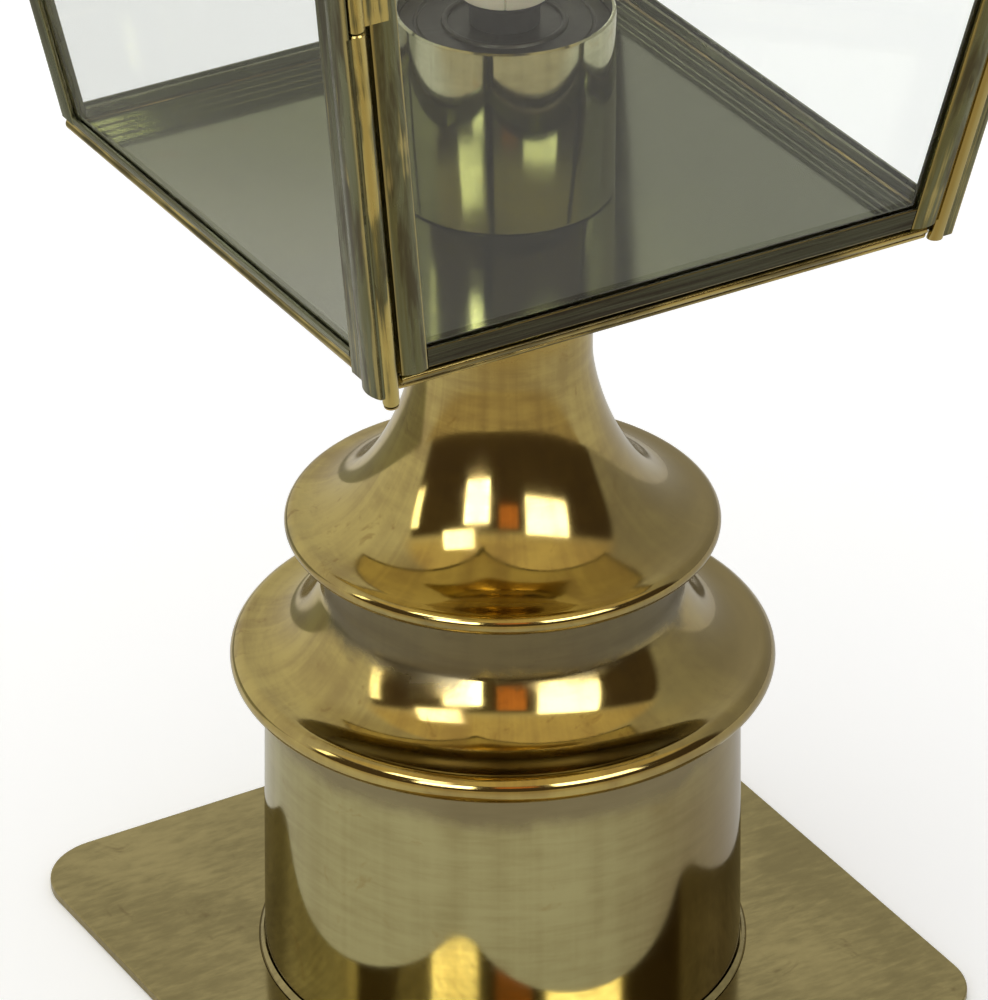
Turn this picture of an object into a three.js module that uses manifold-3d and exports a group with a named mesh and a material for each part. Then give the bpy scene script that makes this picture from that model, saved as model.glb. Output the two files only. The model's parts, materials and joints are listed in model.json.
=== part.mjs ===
// Pedestal lantern of polished brass: a square plate and turned pedestal carry a glazed, tapering
// cage with a hinged door, a candle-style lamp inside, and a hipped roof with a vented cap.
// Millimetres, +Z up. The origin is the centre of the base plate's underside.
// The door is on the -Y side, hinged at the -X end. The cage grows by CAGE_LEAN per side and unit height.
import * as THREE from 'three';
import { mergeVertices } from 'three/addons/utils/BufferGeometryUtils.js';
import Module from 'manifold-3d';

const wasm = await Module();
wasm.setup();

// ---- Driving dimensions ----
const GAP = 0.3;                 // clearance between neighbouring pieces
const SHEET = 1.2;               // wall of the spun and folded brass

const PLATE_SIDE = 203.2;
const PLATE_T = 3;
const PLATE_CORNER_R = 20;
const PLATE_HOLE_R = 40;

const DRUM_FOOT_R = 68.3;
const DRUM_TOP_R = 66.7;
const DRUM_TOP_Z = 93.3;

const LOWER_RIM_R = 76.4;
const LOWER_ROLL_R = 4.2;
const LOWER_WALL_R = 50;
const LOWER_TOP_Z = 137.4;

const UPPER_RIM_R = 60.5;
const UPPER_ROLL_R = 3;
const NECK_R = 24.6;
const NECK_TOP_R = 26.5;
const NECK_TOP_Z = 242.2;

const ROD_R = 5;
const ROD_BORE_R = 3.6;
const ROD_HOLE_R = 5.4;          // clearance hole for the rod in every piece that it passes
const ROD_LOW_Z = 15;
const ROD_HIGH_Z = 300;

const PAN_Z = 245;               // level of the cage's lower edge
const CAGE_HALF = 87;            // half side of the cage at PAN_Z
const CAGE_LEAN = 0.17;
const CAGE_HEIGHT = 240;
const CAGE_TOP_Z = PAN_Z + CAGE_HEIGHT;
const PAN_HALF = 82;
const PAN_FLOOR_Z = 244.4;
const PAN_WELL_HALF = 78;         // half side of the pan's sunken floor
const PAN_SHELF_Z = 246.6;
const PAN_LIP_Z = 248.6;

const FRAME_DEPTH = 4.5;         // depth of every post, rail and stile, inwards from the cage's face
const FRAME_WALL = 0.8;          // the folded strip's wall at each side of the glass
const GROOVE_DEPTH = 2.2;        // how far the glass sits in posts, stiles and rails
const POST_LEG = 7.5;
const BEAD_R = 2.1;
const RAIL_LOW_Z = 249.3;        // fixed bottom rails, above the rim beads
const RAIL_LOW_H = 2.6;
const RAIL_TOP_H = 7;
const RAIL_GROOVE = 1.6;

const HINGE_IN = 2.3;            // hinge axis to the cage's corner edge
const KNUCKLE_R = 2.2;
const KNUCKLE_BORE_R = 1.25;
const PIN_R = 0.95;
const KNUCKLE_LOW_Z = 242.6;
const KNUCKLE_SPLIT_Z = 360;
const KNUCKLE_HIGH_Z = 477;
const LEAF_T = 0.8;
const LEAF_WIDTH = 8.6;
const HINGE_POST_W = 16;         // the hinge post's width along the left face

const DOOR_LOW_Z = 250.4;
const DOOR_HIGH_Z = 477;
const DOOR_LEFT_IN = 6.1;        // door edges to the corner edges, at the same height
const DOOR_RIGHT_IN = 7.6;
const STILE_W = 7.6;
const DOOR_RAIL_H = 6.2;
const STOP_BEAD_R = 2.2;
const STOP_BEAD_IN = 4.9;        // centre of the stop bead to the right corner edge
const STOP_BEAD_DEPTH = 1.6;

const LATCH_Z = 363;
const LATCH_IN = 10.1;           // spindle to the right corner edge
const SPINDLE_R = 1.6;
const TONGUE_REACH = 4.9;
const TONGUE_WIDTH = 3.6;
const TONGUE_T = 1;

const CUP_R = 29.6;
const CUP_TOP_Z = 297.6;
const CUP_DISC_Z = 292;
const SLEEVE_R = 12.4;
const SLEEVE_LOW_Z = 302;
const SLEEVE_H = 85;
const BULB_R = 17.5;
const BULB_H = 76;

const CORNICE_HALF = 142;
const ROOF_HALF = 138;
const ROOF_HOLE_HALF = 21;
const ROOF_LOW_Z = 501.9;
const ROOF_TOP_Z = 566.5;
const ROOF_TOP_HALF = 36;
const CHIMNEY_R = 30;
const CHIMNEY_TOP_Z = 604;
const VENT_HOLE_R = 4.5;
const VENT_HOLES = 8;
const VENT_HOLE_Z = 586;
const CAP_RIM_R = 50;
const CAP_RIM_Z = 599;
const CAP_TOP_Z = 620.6;
const FINIAL_LOW_Z = 621;
const FINIAL_R = 12.5;
const FINIAL_SHANK_R = 3;
const FINIAL_HOLE_R = 3.6;

// ---- Materials ----
function metal(colour, roughness) {
  return new THREE.MeshStandardMaterial({ color: colour, roughness, metalness: 1 });
}

function plain(colour, roughness) {
  return new THREE.MeshStandardMaterial({ color: colour, roughness, metalness: 0 });
}

const polishedBrass = metal(0xb5a468, 0.16);
const greyBrass = metal(0x8f8b6c, 0.25);
const plateBrass = metal(0x7f7148, 0.38);
const frameBrass = metal(0x5c583e, 0.4);
const rawBrass = metal(0xb08d4a, 0.4);
const darkSteel = metal(0x55554f, 0.45);
const glass = plain(0xdfe8e4, 0.04);
const ivory = plain(0xe9dfc0, 0.45);
const blackPlastic = plain(0x151515, 0.5);
const whiteCeramic = plain(0xe6e3da, 0.4);
const leadSleeve = plain(0xd8d4cc, 0.55);

// ---- Helpers ----
const root = new THREE.Group();

function add(name, geometry, material, parent = root) {
  const mesh = new THREE.Mesh(geometry, material);
  mesh.name = name;
  parent.add(mesh);
  return mesh;
}

function positionsOnly(geometry) {
  const bare = new THREE.BufferGeometry();
  bare.setAttribute('position', geometry.getAttribute('position').clone());
  if (geometry.index) {
    bare.setIndex(geometry.index.clone());
  }
  return mergeVertices(bare, 1e-4);
}

function toSolid(geometry) {
  const merged = positionsOnly(geometry);
  const vertProperties = new Float32Array(merged.getAttribute('position').array);
  const triVerts = new Uint32Array(merged.index.array);
  return new wasm.Manifold(new wasm.Mesh({ numProp: 3, vertProperties, triVerts }));
}

function fromSolid(solid) {
  const result = solid.getMesh();
  const geometry = new THREE.BufferGeometry();
  geometry.setAttribute('position', new THREE.BufferAttribute(result.vertProperties, 3));
  geometry.setIndex(new THREE.BufferAttribute(result.triVerts, 1));
  geometry.computeVertexNormals();
  return geometry;
}

function cut(base, ...tools) {
  return fromSolid(tools.reduce((solid, tool) => solid.subtract(toSolid(tool)), toSolid(base)));
}

function join(base, ...others) {
  return fromSolid(others.reduce((solid, other) => solid.add(toSolid(other)), toSolid(base)));
}

// A straight prism of an XY outline between two heights.
function prism(points, lowZ, highZ) {
  const shape = new THREE.Shape(points.map(([x, y]) => new THREE.Vector2(x, y)));
  const geometry = new THREE.ExtrudeGeometry(shape, { depth: highZ - lowZ, bevelEnabled: false });
  return geometry.translate(0, 0, lowZ);
}

// A prism of an XZ outline between two Y values.
function slab(points, lowY, highY) {
  const shape = new THREE.Shape(points.map(([x, z]) => new THREE.Vector2(x, z)));
  const geometry = new THREE.ExtrudeGeometry(shape, { depth: highY - lowY, bevelEnabled: false });
  return geometry.rotateX(Math.PI / 2).translate(0, highY, 0);
}

function circlePoints(x, y, radius, sides) {
  const step = (2 * Math.PI) / sides;
  return Array.from({ length: sides }, (_, i) => [
    x + radius * Math.cos(i * step),
    y + radius * Math.sin(i * step),
  ]);
}

// A round bar along Z.
function rod(radius, lowZ, highZ, sides, x = 0, y = 0) {
  return prism(circlePoints(x, y, radius, sides), lowZ, highZ);
}

// Turns a closed profile of [radius, height] pairs about Z.
function turned(profile, segments) {
  const points = profile.map(([r, z]) => new THREE.Vector2(r, z));
  points.push(points[0].clone());
  return new THREE.LatheGeometry(points, segments).rotateX(Math.PI / 2);
}

// A square frame: the profile's first value is the half side.
function squareTurned(profile) {
  const spread = profile.map(([half, z]) => [half * Math.SQRT2, z]);
  return turned(spread, 4).rotateZ(Math.PI / 4);
}

// A flat ring between two radii and two heights.
function ring(innerR, outerR, lowZ, highZ, segments) {
  return turned([[innerR, lowZ], [outerR, lowZ], [outerR, highZ], [innerR, highZ]], segments);
}

function bezier(from, control1, control2, to, steps) {
  const curve = new THREE.CubicBezierCurve(
    new THREE.Vector2(...from),
    new THREE.Vector2(...control1),
    new THREE.Vector2(...control2),
    new THREE.Vector2(...to),
  );
  return curve.getPoints(steps).map((p) => [p.x, p.y]);
}

function arc(centreR, centreZ, radius, fromDegrees, toDegrees, steps) {
  return Array.from({ length: steps + 1 }, (_, i) => {
    const angle = THREE.MathUtils.degToRad(fromDegrees + ((toDegrees - fromDegrees) * i) / steps);
    return [centreR + radius * Math.cos(angle), centreZ + radius * Math.sin(angle)];
  });
}

// Closes an open skin into a sheet of even thickness, laid on the left of the skin's direction.
function sheetProfile(skin, thickness) {
  const points = skin.map(([r, z]) => new THREE.Vector2(r, z));
  const inner = points.map((point, i) => {
    const before = points[Math.max(i - 1, 0)];
    const after = points[Math.min(i + 1, points.length - 1)];
    const into = point.clone().sub(before).normalize();
    const out = after.clone().sub(point).normalize();
    const along = into.clone().add(out).normalize();
    const miter = 1 / Math.max(along.dot(out.lengthSq() > 0 ? out : into), 0.5);
    return [point.x - along.y * thickness * miter, point.y + along.x * thickness * miter];
  });
  return [...skin, ...inner.reverse()];
}

// Leans a piece that is drawn at PAN_Z: each unit of height moves it by leanX and leanY.
function lean(geometry, leanX, leanY) {
  const shear = new THREE.Matrix4().set(
    1, 0, leanX, -leanX * PAN_Z,
    0, 1, leanY, -leanY * PAN_Z,
    0, 0, 1, 0,
    0, 0, 0, 1,
  );
  return geometry.applyMatrix4(shear);
}

// Corner section with its outer corner at the cage's -X -Y edge, leaned along that edge.
function cornerPiece(points, lowZ, highZ) {
  const placed = points.map(([x, y]) => [x - CAGE_HALF, y - CAGE_HALF]);
  return lean(prism(placed, lowZ, highZ), -CAGE_LEAN, -CAGE_LEAN);
}

// Bar on the -Y face between two heights. The ends keep leftIn and rightIn from the corner edges.
function faceBar(leftIn, rightIn, lowZ, highZ, nearDepth, farDepth) {
  const half = (z) => CAGE_HALF + CAGE_LEAN * (z - PAN_Z);
  const outline = [
    [leftIn - half(lowZ), lowZ],
    [half(lowZ) - rightIn, lowZ],
    [half(highZ) - rightIn, highZ],
    [leftIn - half(highZ), highZ],
  ];
  return lean(slab(outline, nearDepth - CAGE_HALF, farDepth - CAGE_HALF), 0, -CAGE_LEAN);
}

// Face bar with a glass groove open at the top or at the bottom.
function groovedRail(leftIn, rightIn, lowZ, highZ, grooveLow, grooveHigh) {
  const bar = faceBar(leftIn, rightIn, lowZ, highZ, 0, FRAME_DEPTH);
  const past = 1;
  const groove = faceBar(
    leftIn - past, rightIn - past, grooveLow, grooveHigh, FRAME_WALL, FRAME_DEPTH - FRAME_WALL,
  );
  return cut(bar, groove);
}

function railOpenUp(leftIn, rightIn, lowZ, highZ) {
  return groovedRail(leftIn, rightIn, lowZ, highZ, highZ - RAIL_GROOVE, highZ + 1);
}

function railOpenDown(leftIn, rightIn, lowZ, highZ) {
  return groovedRail(leftIn, rightIn, lowZ, highZ, lowZ - 1, lowZ + RAIL_GROOVE);
}

// Turns a piece of the -Y face to another face: 0 front, 1 right, 2 back, 3 left.
function toFace(geometry, quarterTurns) {
  return geometry.rotateZ((quarterTurns * Math.PI) / 2);
}

// ---- Base and pedestal ----
function roundedSquare(half, radius) {
  const shape = new THREE.Shape();
  const flat = half - radius;
  shape.moveTo(-flat, -half);
  shape.lineTo(flat, -half);
  shape.absarc(flat, -flat, radius, -Math.PI / 2, 0, false);
  shape.lineTo(half, flat);
  shape.absarc(flat, flat, radius, 0, Math.PI / 2, false);
  shape.lineTo(-flat, half);
  shape.absarc(-flat, flat, radius, Math.PI / 2, Math.PI, false);
  shape.lineTo(-half, -flat);
  shape.absarc(-flat, -flat, radius, Math.PI, 1.5 * Math.PI, false);
  return shape;
}

const STRAP_SCREW_X = 52;
const STRAP_SCREW_R = 2;
const EARTH_SCREW_R = 1.8;
const EARTH_X = -8;
const EARTH_Y = 9;
const SCREW_SLACK = 0.4;

function strapScrewHoles(lowZ, highZ) {
  const holeR = STRAP_SCREW_R + SCREW_SLACK;
  return [-STRAP_SCREW_X, STRAP_SCREW_X].map((x) => rod(holeR, lowZ, highZ, 12, x));
}

function basePlate() {
  const shape = roundedSquare(PLATE_SIDE / 2, PLATE_CORNER_R);
  const extrude = { depth: PLATE_T, bevelEnabled: false, curveSegments: 6 };
  const plate = new THREE.ExtrudeGeometry(shape, extrude);
  return cut(plate, rod(PLATE_HOLE_R, -1, PLATE_T + 1, 32), ...strapScrewHoles(-1, PLATE_T + 1));
}

const STRAP_WIDTH = 24;
const STRAP_T = 3;
const STRAP_FOOT_Z = PLATE_T + GAP;
const STRAP_TOP_Z = 26;

function bridgeStrap() {
  const footEnd = 58;
  const footStart = 45;
  const deckEnd = 30;
  const rise = STRAP_TOP_Z - STRAP_T;
  const outline = [
    [-footEnd, STRAP_FOOT_Z], [-footStart, STRAP_FOOT_Z], [-deckEnd, rise], [deckEnd, rise],
    [footStart, STRAP_FOOT_Z], [footEnd, STRAP_FOOT_Z], [footEnd, STRAP_FOOT_Z + STRAP_T],
    [footStart - 1, STRAP_FOOT_Z + STRAP_T], [deckEnd - 1, STRAP_TOP_Z], [1 - deckEnd, STRAP_TOP_Z],
    [1 - footStart, STRAP_FOOT_Z + STRAP_T], [-footEnd, STRAP_FOOT_Z + STRAP_T],
  ];
  const strap = slab(outline, -STRAP_WIDTH / 2, STRAP_WIDTH / 2);
  const earthHole = rod(EARTH_SCREW_R + SCREW_SLACK, rise - 1, STRAP_TOP_Z + 1, 12, EARTH_X, EARTH_Y);
  return cut(strap, rod(ROD_HOLE_R, rise - 1, STRAP_TOP_Z + 1, 16), earthHole, ...strapScrewHoles(0, 10));
}

function strapScrew(x) {
  const headZ = STRAP_FOOT_Z + STRAP_T + GAP;
  const profile = [
    [0, 0.6], [STRAP_SCREW_R, 0.6], [STRAP_SCREW_R, headZ], [3.8, headZ], [3.4, headZ + 1.6],
    [2, headZ + 2.4], [0, headZ + 2.4],
  ];
  return turned(profile, 12).translate(x, 0, 0);
}

function hexNut(lowZ, height, acrossFlats) {
  const cornerR = acrossFlats / Math.sqrt(3);
  return cut(rod(cornerR, lowZ, lowZ + height, 6), rod(ROD_R + GAP, lowZ - 1, lowZ + height + 1, 16));
}

function drum() {
  const footZ = PLATE_T + GAP;
  const skin = [[DRUM_FOOT_R, footZ], [DRUM_TOP_R, DRUM_TOP_Z], [ROD_HOLE_R, DRUM_TOP_Z]];
  return turned(sheetProfile(skin, SHEET), 40);
}

function drumFootRing() {
  const low = PLATE_T + GAP;
  const inner = DRUM_FOOT_R + GAP;
  const profile = [[inner, low], [inner + 1.5, low], [inner + 1.1, low + 1.1], [inner, low + 1.6]];
  return turned(profile, 40);
}

function lowerFlange() {
  const lowZ = DRUM_TOP_Z + GAP;
  const rollR = LOWER_RIM_R - LOWER_ROLL_R;
  const roll = arc(rollR, lowZ + LOWER_ROLL_R, LOWER_ROLL_R, -90, 80, 5);
  const flareStart = roll[roll.length - 1];
  const flare = bezier(flareStart, [60.5, 102.2], [58.5, 103], [LOWER_WALL_R + 1.2, 117.5], 7);
  const top = [[LOWER_WALL_R, 124], [LOWER_WALL_R, LOWER_TOP_Z], [ROD_HOLE_R, LOWER_TOP_Z]];
  const skin = [[58, lowZ], ...roll, ...flare.slice(1), ...top];
  return turned(sheetProfile(skin, SHEET), 36);
}

function upperFlange() {
  const lowZ = LOWER_TOP_Z + GAP;
  const rollR = UPPER_RIM_R - UPPER_ROLL_R;
  const roll = arc(rollR, lowZ + UPPER_ROLL_R, UPPER_ROLL_R, -90, 80, 3);
  const flareStart = roll[roll.length - 1];
  const flare = bezier(flareStart, [36, 144.2], [24.3, 182.7], [NECK_R, 195], 7);
  const collar = [[NECK_R + 0.2, 220], [NECK_TOP_R, 239], [NECK_TOP_R, NECK_TOP_Z]];
  const skin = [[42, lowZ], ...roll, ...flare.slice(1), ...collar, [ROD_HOLE_R, NECK_TOP_Z]];
  return turned(sheetProfile(skin, 1), 32);
}

function buildPedestal() {
  add('base_plate', basePlate(), plateBrass);
  add('bridge_strap', bridgeStrap(), rawBrass);
  add('strap_screw_left', strapScrew(-STRAP_SCREW_X), darkSteel);
  add('strap_screw_right', strapScrew(STRAP_SCREW_X), darkSteel);
  add('drum', drum(), greyBrass);
  add('drum_foot_ring', drumFootRing(), polishedBrass);
  add('lower_flange', lowerFlange(), polishedBrass);
  add('upper_flange', upperFlange(), polishedBrass);
  add('threaded_rod', ring(ROD_BORE_R, ROD_R, ROD_LOW_Z, ROD_HIGH_Z, 16), darkSteel);
  const strapUnderZ = STRAP_TOP_Z - STRAP_T;
  add('bottom_washer', ring(ROD_R + GAP, 10, strapUnderZ - GAP - 1, strapUnderZ - GAP, 20), darkSteel);
  add('bottom_nut', hexNut(strapUnderZ - 2 * GAP - 6, 5, 14), darkSteel);
  add('pan_washer', ring(ROD_R + GAP, 11, PAN_FLOOR_Z + GAP, PAN_FLOOR_Z + GAP + 1, 20), darkSteel);
  add('pan_nut', hexNut(PAN_FLOOR_Z + 2 * GAP + 1, 5, 14), darkSteel);
}

// ---- Wiring inside the drum ----
const BRACKET_T = 1.5;
const LEAD_R = 2.2;
const BRACKET_LOW_Z = STRAP_TOP_Z + GAP;
const BLOCK_LENGTH = 30;
const BLOCK_WIDTH = 15;
const BLOCK_HEIGHT = 13;
const BLOCK_Y = 26;
const BLOCK_LOW_Z = BRACKET_LOW_Z + BRACKET_T + GAP;
const POLE_XS = [-10, 0, 10];

function terminalBracket() {
  const highZ = BRACKET_LOW_Z + BRACKET_T;
  const outline = [[-12, BRACKET_LOW_Z], [12, BRACKET_LOW_Z], [12, highZ], [-12, highZ]];
  const screwHole = rod(EARTH_SCREW_R + SCREW_SLACK, BRACKET_LOW_Z - 1, highZ + 1, 12, EARTH_X, EARTH_Y);
  return cut(slab(outline, 6.5, BLOCK_Y + BLOCK_WIDTH / 2), screwHole);
}

function terminalBlock() {
  const block = new THREE.BoxGeometry(BLOCK_LENGTH, BLOCK_WIDTH, BLOCK_HEIGHT)
    .translate(0, BLOCK_Y, BLOCK_LOW_Z + BLOCK_HEIGHT / 2);
  const wireZ = BLOCK_LOW_Z + 4.5;
  const wires = POLE_XS.map((x) => (
    new THREE.CylinderGeometry(1.9, 1.9, BLOCK_WIDTH + 2, 8).translate(x, BLOCK_Y, wireZ)
  ));
  const screws = POLE_XS.map((x) => rod(1.7, wireZ, BLOCK_LOW_Z + BLOCK_HEIGHT + 1, 8, x, BLOCK_Y));
  return cut(block, ...wires, ...screws);
}

function earthScrew() {
  const headZ = BRACKET_LOW_Z + BRACKET_T + GAP;
  return turned([
    [0, STRAP_TOP_Z - 6], [EARTH_SCREW_R, STRAP_TOP_Z - 6], [EARTH_SCREW_R, headZ], [3.4, headZ],
    [3.2, headZ + 1.6], [1.8, headZ + 2.3], [0, headZ + 2.3],
  ], 12).translate(EARTH_X, EARTH_Y, 0);
}

// The lead leaves the terminal block's end, passes under the strap and rises inside the threaded rod.
function lampLead() {
  const path = new THREE.CatmullRomCurve3([
    new THREE.Vector3(BLOCK_LENGTH / 2 + 3 * GAP, BLOCK_Y, 34),
    new THREE.Vector3(20.5, 25.5, 33),
    new THREE.Vector3(23.5, 21.5, 27),
    new THREE.Vector3(21, 16, 17),
    new THREE.Vector3(13, 9, 8.5),
    new THREE.Vector3(4.5, 3, 6),
    new THREE.Vector3(0.4, 0.2, 10),
    new THREE.Vector3(0, 0, 16),
    new THREE.Vector3(0, 0, 60),
    new THREE.Vector3(0, 0, 180),
    new THREE.Vector3(0, 0, ROD_HIGH_Z - 4),
  ], false, 'centripetal');
  const section = new THREE.Shape(circlePoints(0, 0, LEAD_R, 8).map(([x, y]) => new THREE.Vector2(x, y)));
  return new THREE.ExtrudeGeometry(section, { steps: 40, extrudePath: path });
}

function buildWiring() {
  add('terminal_bracket', terminalBracket(), rawBrass);
  add('terminal_block', terminalBlock(), whiteCeramic);
  add('earth_screw', earthScrew(), rawBrass);
  add('lamp_lead', lampLead(), leadSleeve);
}

// ---- Pan and fixed cage ----
function pan() {
  const floorLow = PAN_FLOOR_Z - SHEET;
  const shelfLow = PAN_SHELF_Z - SHEET;
  const wellOuter = PAN_WELL_HALF + SHEET;
  const lipInner = PAN_HALF - FRAME_WALL;
  const startHalf = 3;
  const tray = squareTurned([
    [startHalf, floorLow], [wellOuter, floorLow], [wellOuter, shelfLow], [PAN_HALF, shelfLow],
    [PAN_HALF, PAN_LIP_Z], [lipInner, PAN_LIP_Z], [lipInner, PAN_SHELF_Z], [PAN_WELL_HALF, PAN_SHELF_Z],
    [PAN_WELL_HALF, PAN_FLOOR_Z], [startHalf, PAN_FLOOR_Z],
  ]);
  return cut(tray, rod(ROD_HOLE_R, floorLow - 1, PAN_FLOOR_Z + 1, 16));
}

// A round bead along the -Y face's lower edge, between two X values.
function rimBead(fromX, toX) {
  const bead = rod(BEAD_R, 0, toX - fromX, 10).rotateY(Math.PI / 2);
  return bead.translate(fromX, BEAD_R - CAGE_HALF, PAN_Z - 0.2 + BEAD_R);
}

// Posts of the two back corners: a folded angle with a glass groove in each leg.
function backPost() {
  const d = FRAME_DEPTH;
  const t = FRAME_WALL;
  const w = POST_LEG;
  const bottom = w - GROOVE_DEPTH;
  const section = [
    [0, 0], [w, 0], [w, t], [bottom, t], [bottom, d - t], [w, d - t], [w, d], [d, d],
    [d, w], [d - t, w], [d - t, bottom], [t, bottom], [t, w], [0, w],
  ];
  return cornerPiece(section, RAIL_LOW_Z, CAGE_TOP_Z);
}

// Post at the hinge: a wide strip on the left face with a glass groove at its far edge.
function hingePost() {
  const d = FRAME_DEPTH;
  const t = FRAME_WALL;
  const w = HINGE_POST_W;
  const bottom = w - GROOVE_DEPTH;
  const section = [
    [0, KNUCKLE_R + 0.6], [t, KNUCKLE_R + 0.6], [t, 5.2], [d, 5.2], [d, w], [d - t, w],
    [d - t, bottom], [t, bottom], [t, w], [0, w],
  ];
  return cornerPiece(section, PAN_Z, CAGE_TOP_Z);
}

// Post at the door's closing side, with the stop bead along its front edge.
function latchPost() {
  const d = FRAME_DEPTH;
  const t = FRAME_WALL;
  const w = POST_LEG;
  const bottom = w - GROOVE_DEPTH;
  const section = [
    [0, 0], [w, 0], [w, t], [bottom, t], [bottom, d - t], [w, d - t], [w, d], [0, d],
  ];
  const post = cornerPiece(section, PAN_Z, CAGE_TOP_Z);
  const beadSection = circlePoints(STOP_BEAD_DEPTH, STOP_BEAD_IN, STOP_BEAD_R, 12);
  const bead = cornerPiece(beadSection, PAN_Z - 0.6, DOOR_HIGH_Z + 0.4);
  return toFace(join(post, bead), 1);
}

// A pane on the -Y face, held by posts whose grooves start at leftIn and rightIn.
function facePane(leftIn, rightIn, lowZ, highZ) {
  return faceBar(leftIn, rightIn, lowZ, highZ, FRAME_WALL + GAP, FRAME_DEPTH - FRAME_WALL - GAP);
}

function buildFixedCage() {
  const railHighZ = RAIL_LOW_Z + RAIL_LOW_H;
  const topRailZ = CAGE_TOP_Z - RAIL_TOP_H;
  const paneLowZ = railHighZ - RAIL_GROOVE + GAP;
  const paneHighZ = topRailZ + RAIL_GROOVE - GAP;
  const postIn = POST_LEG + GAP;
  const grooveIn = POST_LEG - GROOVE_DEPTH + GAP;
  const hingeIn = HINGE_POST_W + GAP;
  const hingeGroove = HINGE_POST_W - GROOVE_DEPTH + GAP;

  add('pan', pan(), frameBrass);
  add('front_sill_bead', rimBead(5.8 - CAGE_HALF, CAGE_HALF - 7.9), polishedBrass);
  add('rim_bead_right', toFace(rimBead(POST_LEG + GAP - CAGE_HALF, CAGE_HALF), 1), polishedBrass);
  const backHalf = CAGE_HALF - 2 * BEAD_R - GAP;
  add('rim_bead_back', toFace(rimBead(-backHalf, backHalf), 2), polishedBrass);
  add('rim_bead_left', toFace(rimBead(-CAGE_HALF, CAGE_HALF - HINGE_POST_W - GAP), 3), polishedBrass);

  add('post_hinge', hingePost(), frameBrass);
  add('post_latch', latchPost(), frameBrass);
  add('post_back_right', toFace(backPost(), 2), frameBrass);
  add('post_back_left', toFace(backPost(), 3), frameBrass);

  const openSides = [
    { name: 'right', face: 1, leftIn: postIn, rightIn: postIn, paneLeft: grooveIn, paneRight: grooveIn },
    { name: 'back', face: 2, leftIn: postIn, rightIn: postIn, paneLeft: grooveIn, paneRight: grooveIn },
    { name: 'left', face: 3, leftIn: postIn, rightIn: hingeIn, paneLeft: grooveIn, paneRight: hingeGroove },
  ];
  openSides.forEach(({ name, face, leftIn, rightIn, paneLeft, paneRight }) => {
    const bottomRail = railOpenUp(leftIn, rightIn, RAIL_LOW_Z, railHighZ);
    const topRail = railOpenDown(leftIn, rightIn, topRailZ, CAGE_TOP_Z);
    add(`rail_bottom_${name}`, toFace(bottomRail, face), frameBrass);
    add(`rail_top_${name}`, toFace(topRail, face), frameBrass);
    add(`pane_${name}`, toFace(facePane(paneLeft, paneRight, paneLowZ, paneHighZ), face), glass);
  });
  const header = faceBar(DOOR_LEFT_IN, DOOR_RIGHT_IN, DOOR_HIGH_Z + 1, CAGE_TOP_Z, 0, FRAME_DEPTH);
  add('rail_top_front', header, frameBrass);
}

// ---- Door ----
// Distance along the hinge axis, from its point at PAN_Z, for a given height.
const axisStretch = Math.hypot(1, CAGE_LEAN, CAGE_LEAN);
const hingeDirection = new THREE.Vector3(-CAGE_LEAN, -CAGE_LEAN, 1).normalize();
const hingeFoot = new THREE.Vector3(HINGE_IN - CAGE_HALF, -CAGE_HALF, PAN_Z);

// A round bar along the hinge axis, its ends square to the axis.
function axisRod(radius, lowZ, highZ, sides) {
  const turn = new THREE.Quaternion().setFromUnitVectors(new THREE.Vector3(0, 0, 1), hingeDirection);
  const bar = rod(radius, (lowZ - PAN_Z) * axisStretch, (highZ - PAN_Z) * axisStretch, sides);
  return bar.applyQuaternion(turn).translate(hingeFoot.x, hingeFoot.y, hingeFoot.z);
}

const KNUCKLE_GAP = 0.5;
const WEB_CLEARANCE = 1.5;       // plates end this far from the other leaf's barrel

function hingeLeaf() {
  const strip = [
    [-GAP - LEAF_T, -0.9], [-GAP, -0.9], [-GAP, LEAF_WIDTH], [-GAP - LEAF_T, LEAF_WIDTH],
  ];
  const web = [[-GAP - LEAF_T, -0.9], [1.2, -0.9], [1.2, 0.7], [-GAP - LEAF_T, 0.7]];
  const body = join(
    cornerPiece(strip, PAN_Z, CAGE_TOP_Z - 1),
    cornerPiece(web, PAN_Z, KNUCKLE_SPLIT_Z - WEB_CLEARANCE),
    axisRod(KNUCKLE_R, KNUCKLE_LOW_Z, KNUCKLE_SPLIT_Z, 12),
  );
  return cut(body, axisRod(KNUCKLE_BORE_R, KNUCKLE_LOW_Z - 1, CAGE_TOP_Z, 12));
}

function doorKnuckle() {
  const leaf = [
    [HINGE_IN, -GAP - LEAF_T], [DOOR_LEFT_IN + 5, -GAP - LEAF_T], [DOOR_LEFT_IN + 5, -GAP], [HINGE_IN, -GAP],
  ];
  const body = join(
    cornerPiece(leaf, KNUCKLE_SPLIT_Z + WEB_CLEARANCE, KNUCKLE_HIGH_Z - WEB_CLEARANCE),
    axisRod(KNUCKLE_R, KNUCKLE_SPLIT_Z + KNUCKLE_GAP, KNUCKLE_HIGH_Z, 12),
  );
  return cut(body, axisRod(KNUCKLE_BORE_R, KNUCKLE_SPLIT_Z - 1, KNUCKLE_HIGH_Z + 1, 12));
}

function hingePin() {
  const headR = KNUCKLE_R - 0.2;
  const headT = 1;
  return join(
    axisRod(PIN_R, KNUCKLE_LOW_Z - GAP, KNUCKLE_HIGH_Z + GAP, 12),
    axisRod(headR, KNUCKLE_LOW_Z - GAP - headT, KNUCKLE_LOW_Z - GAP, 12),
    axisRod(headR, KNUCKLE_HIGH_Z + GAP, KNUCKLE_HIGH_Z + GAP + headT, 12),
  );
}

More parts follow.
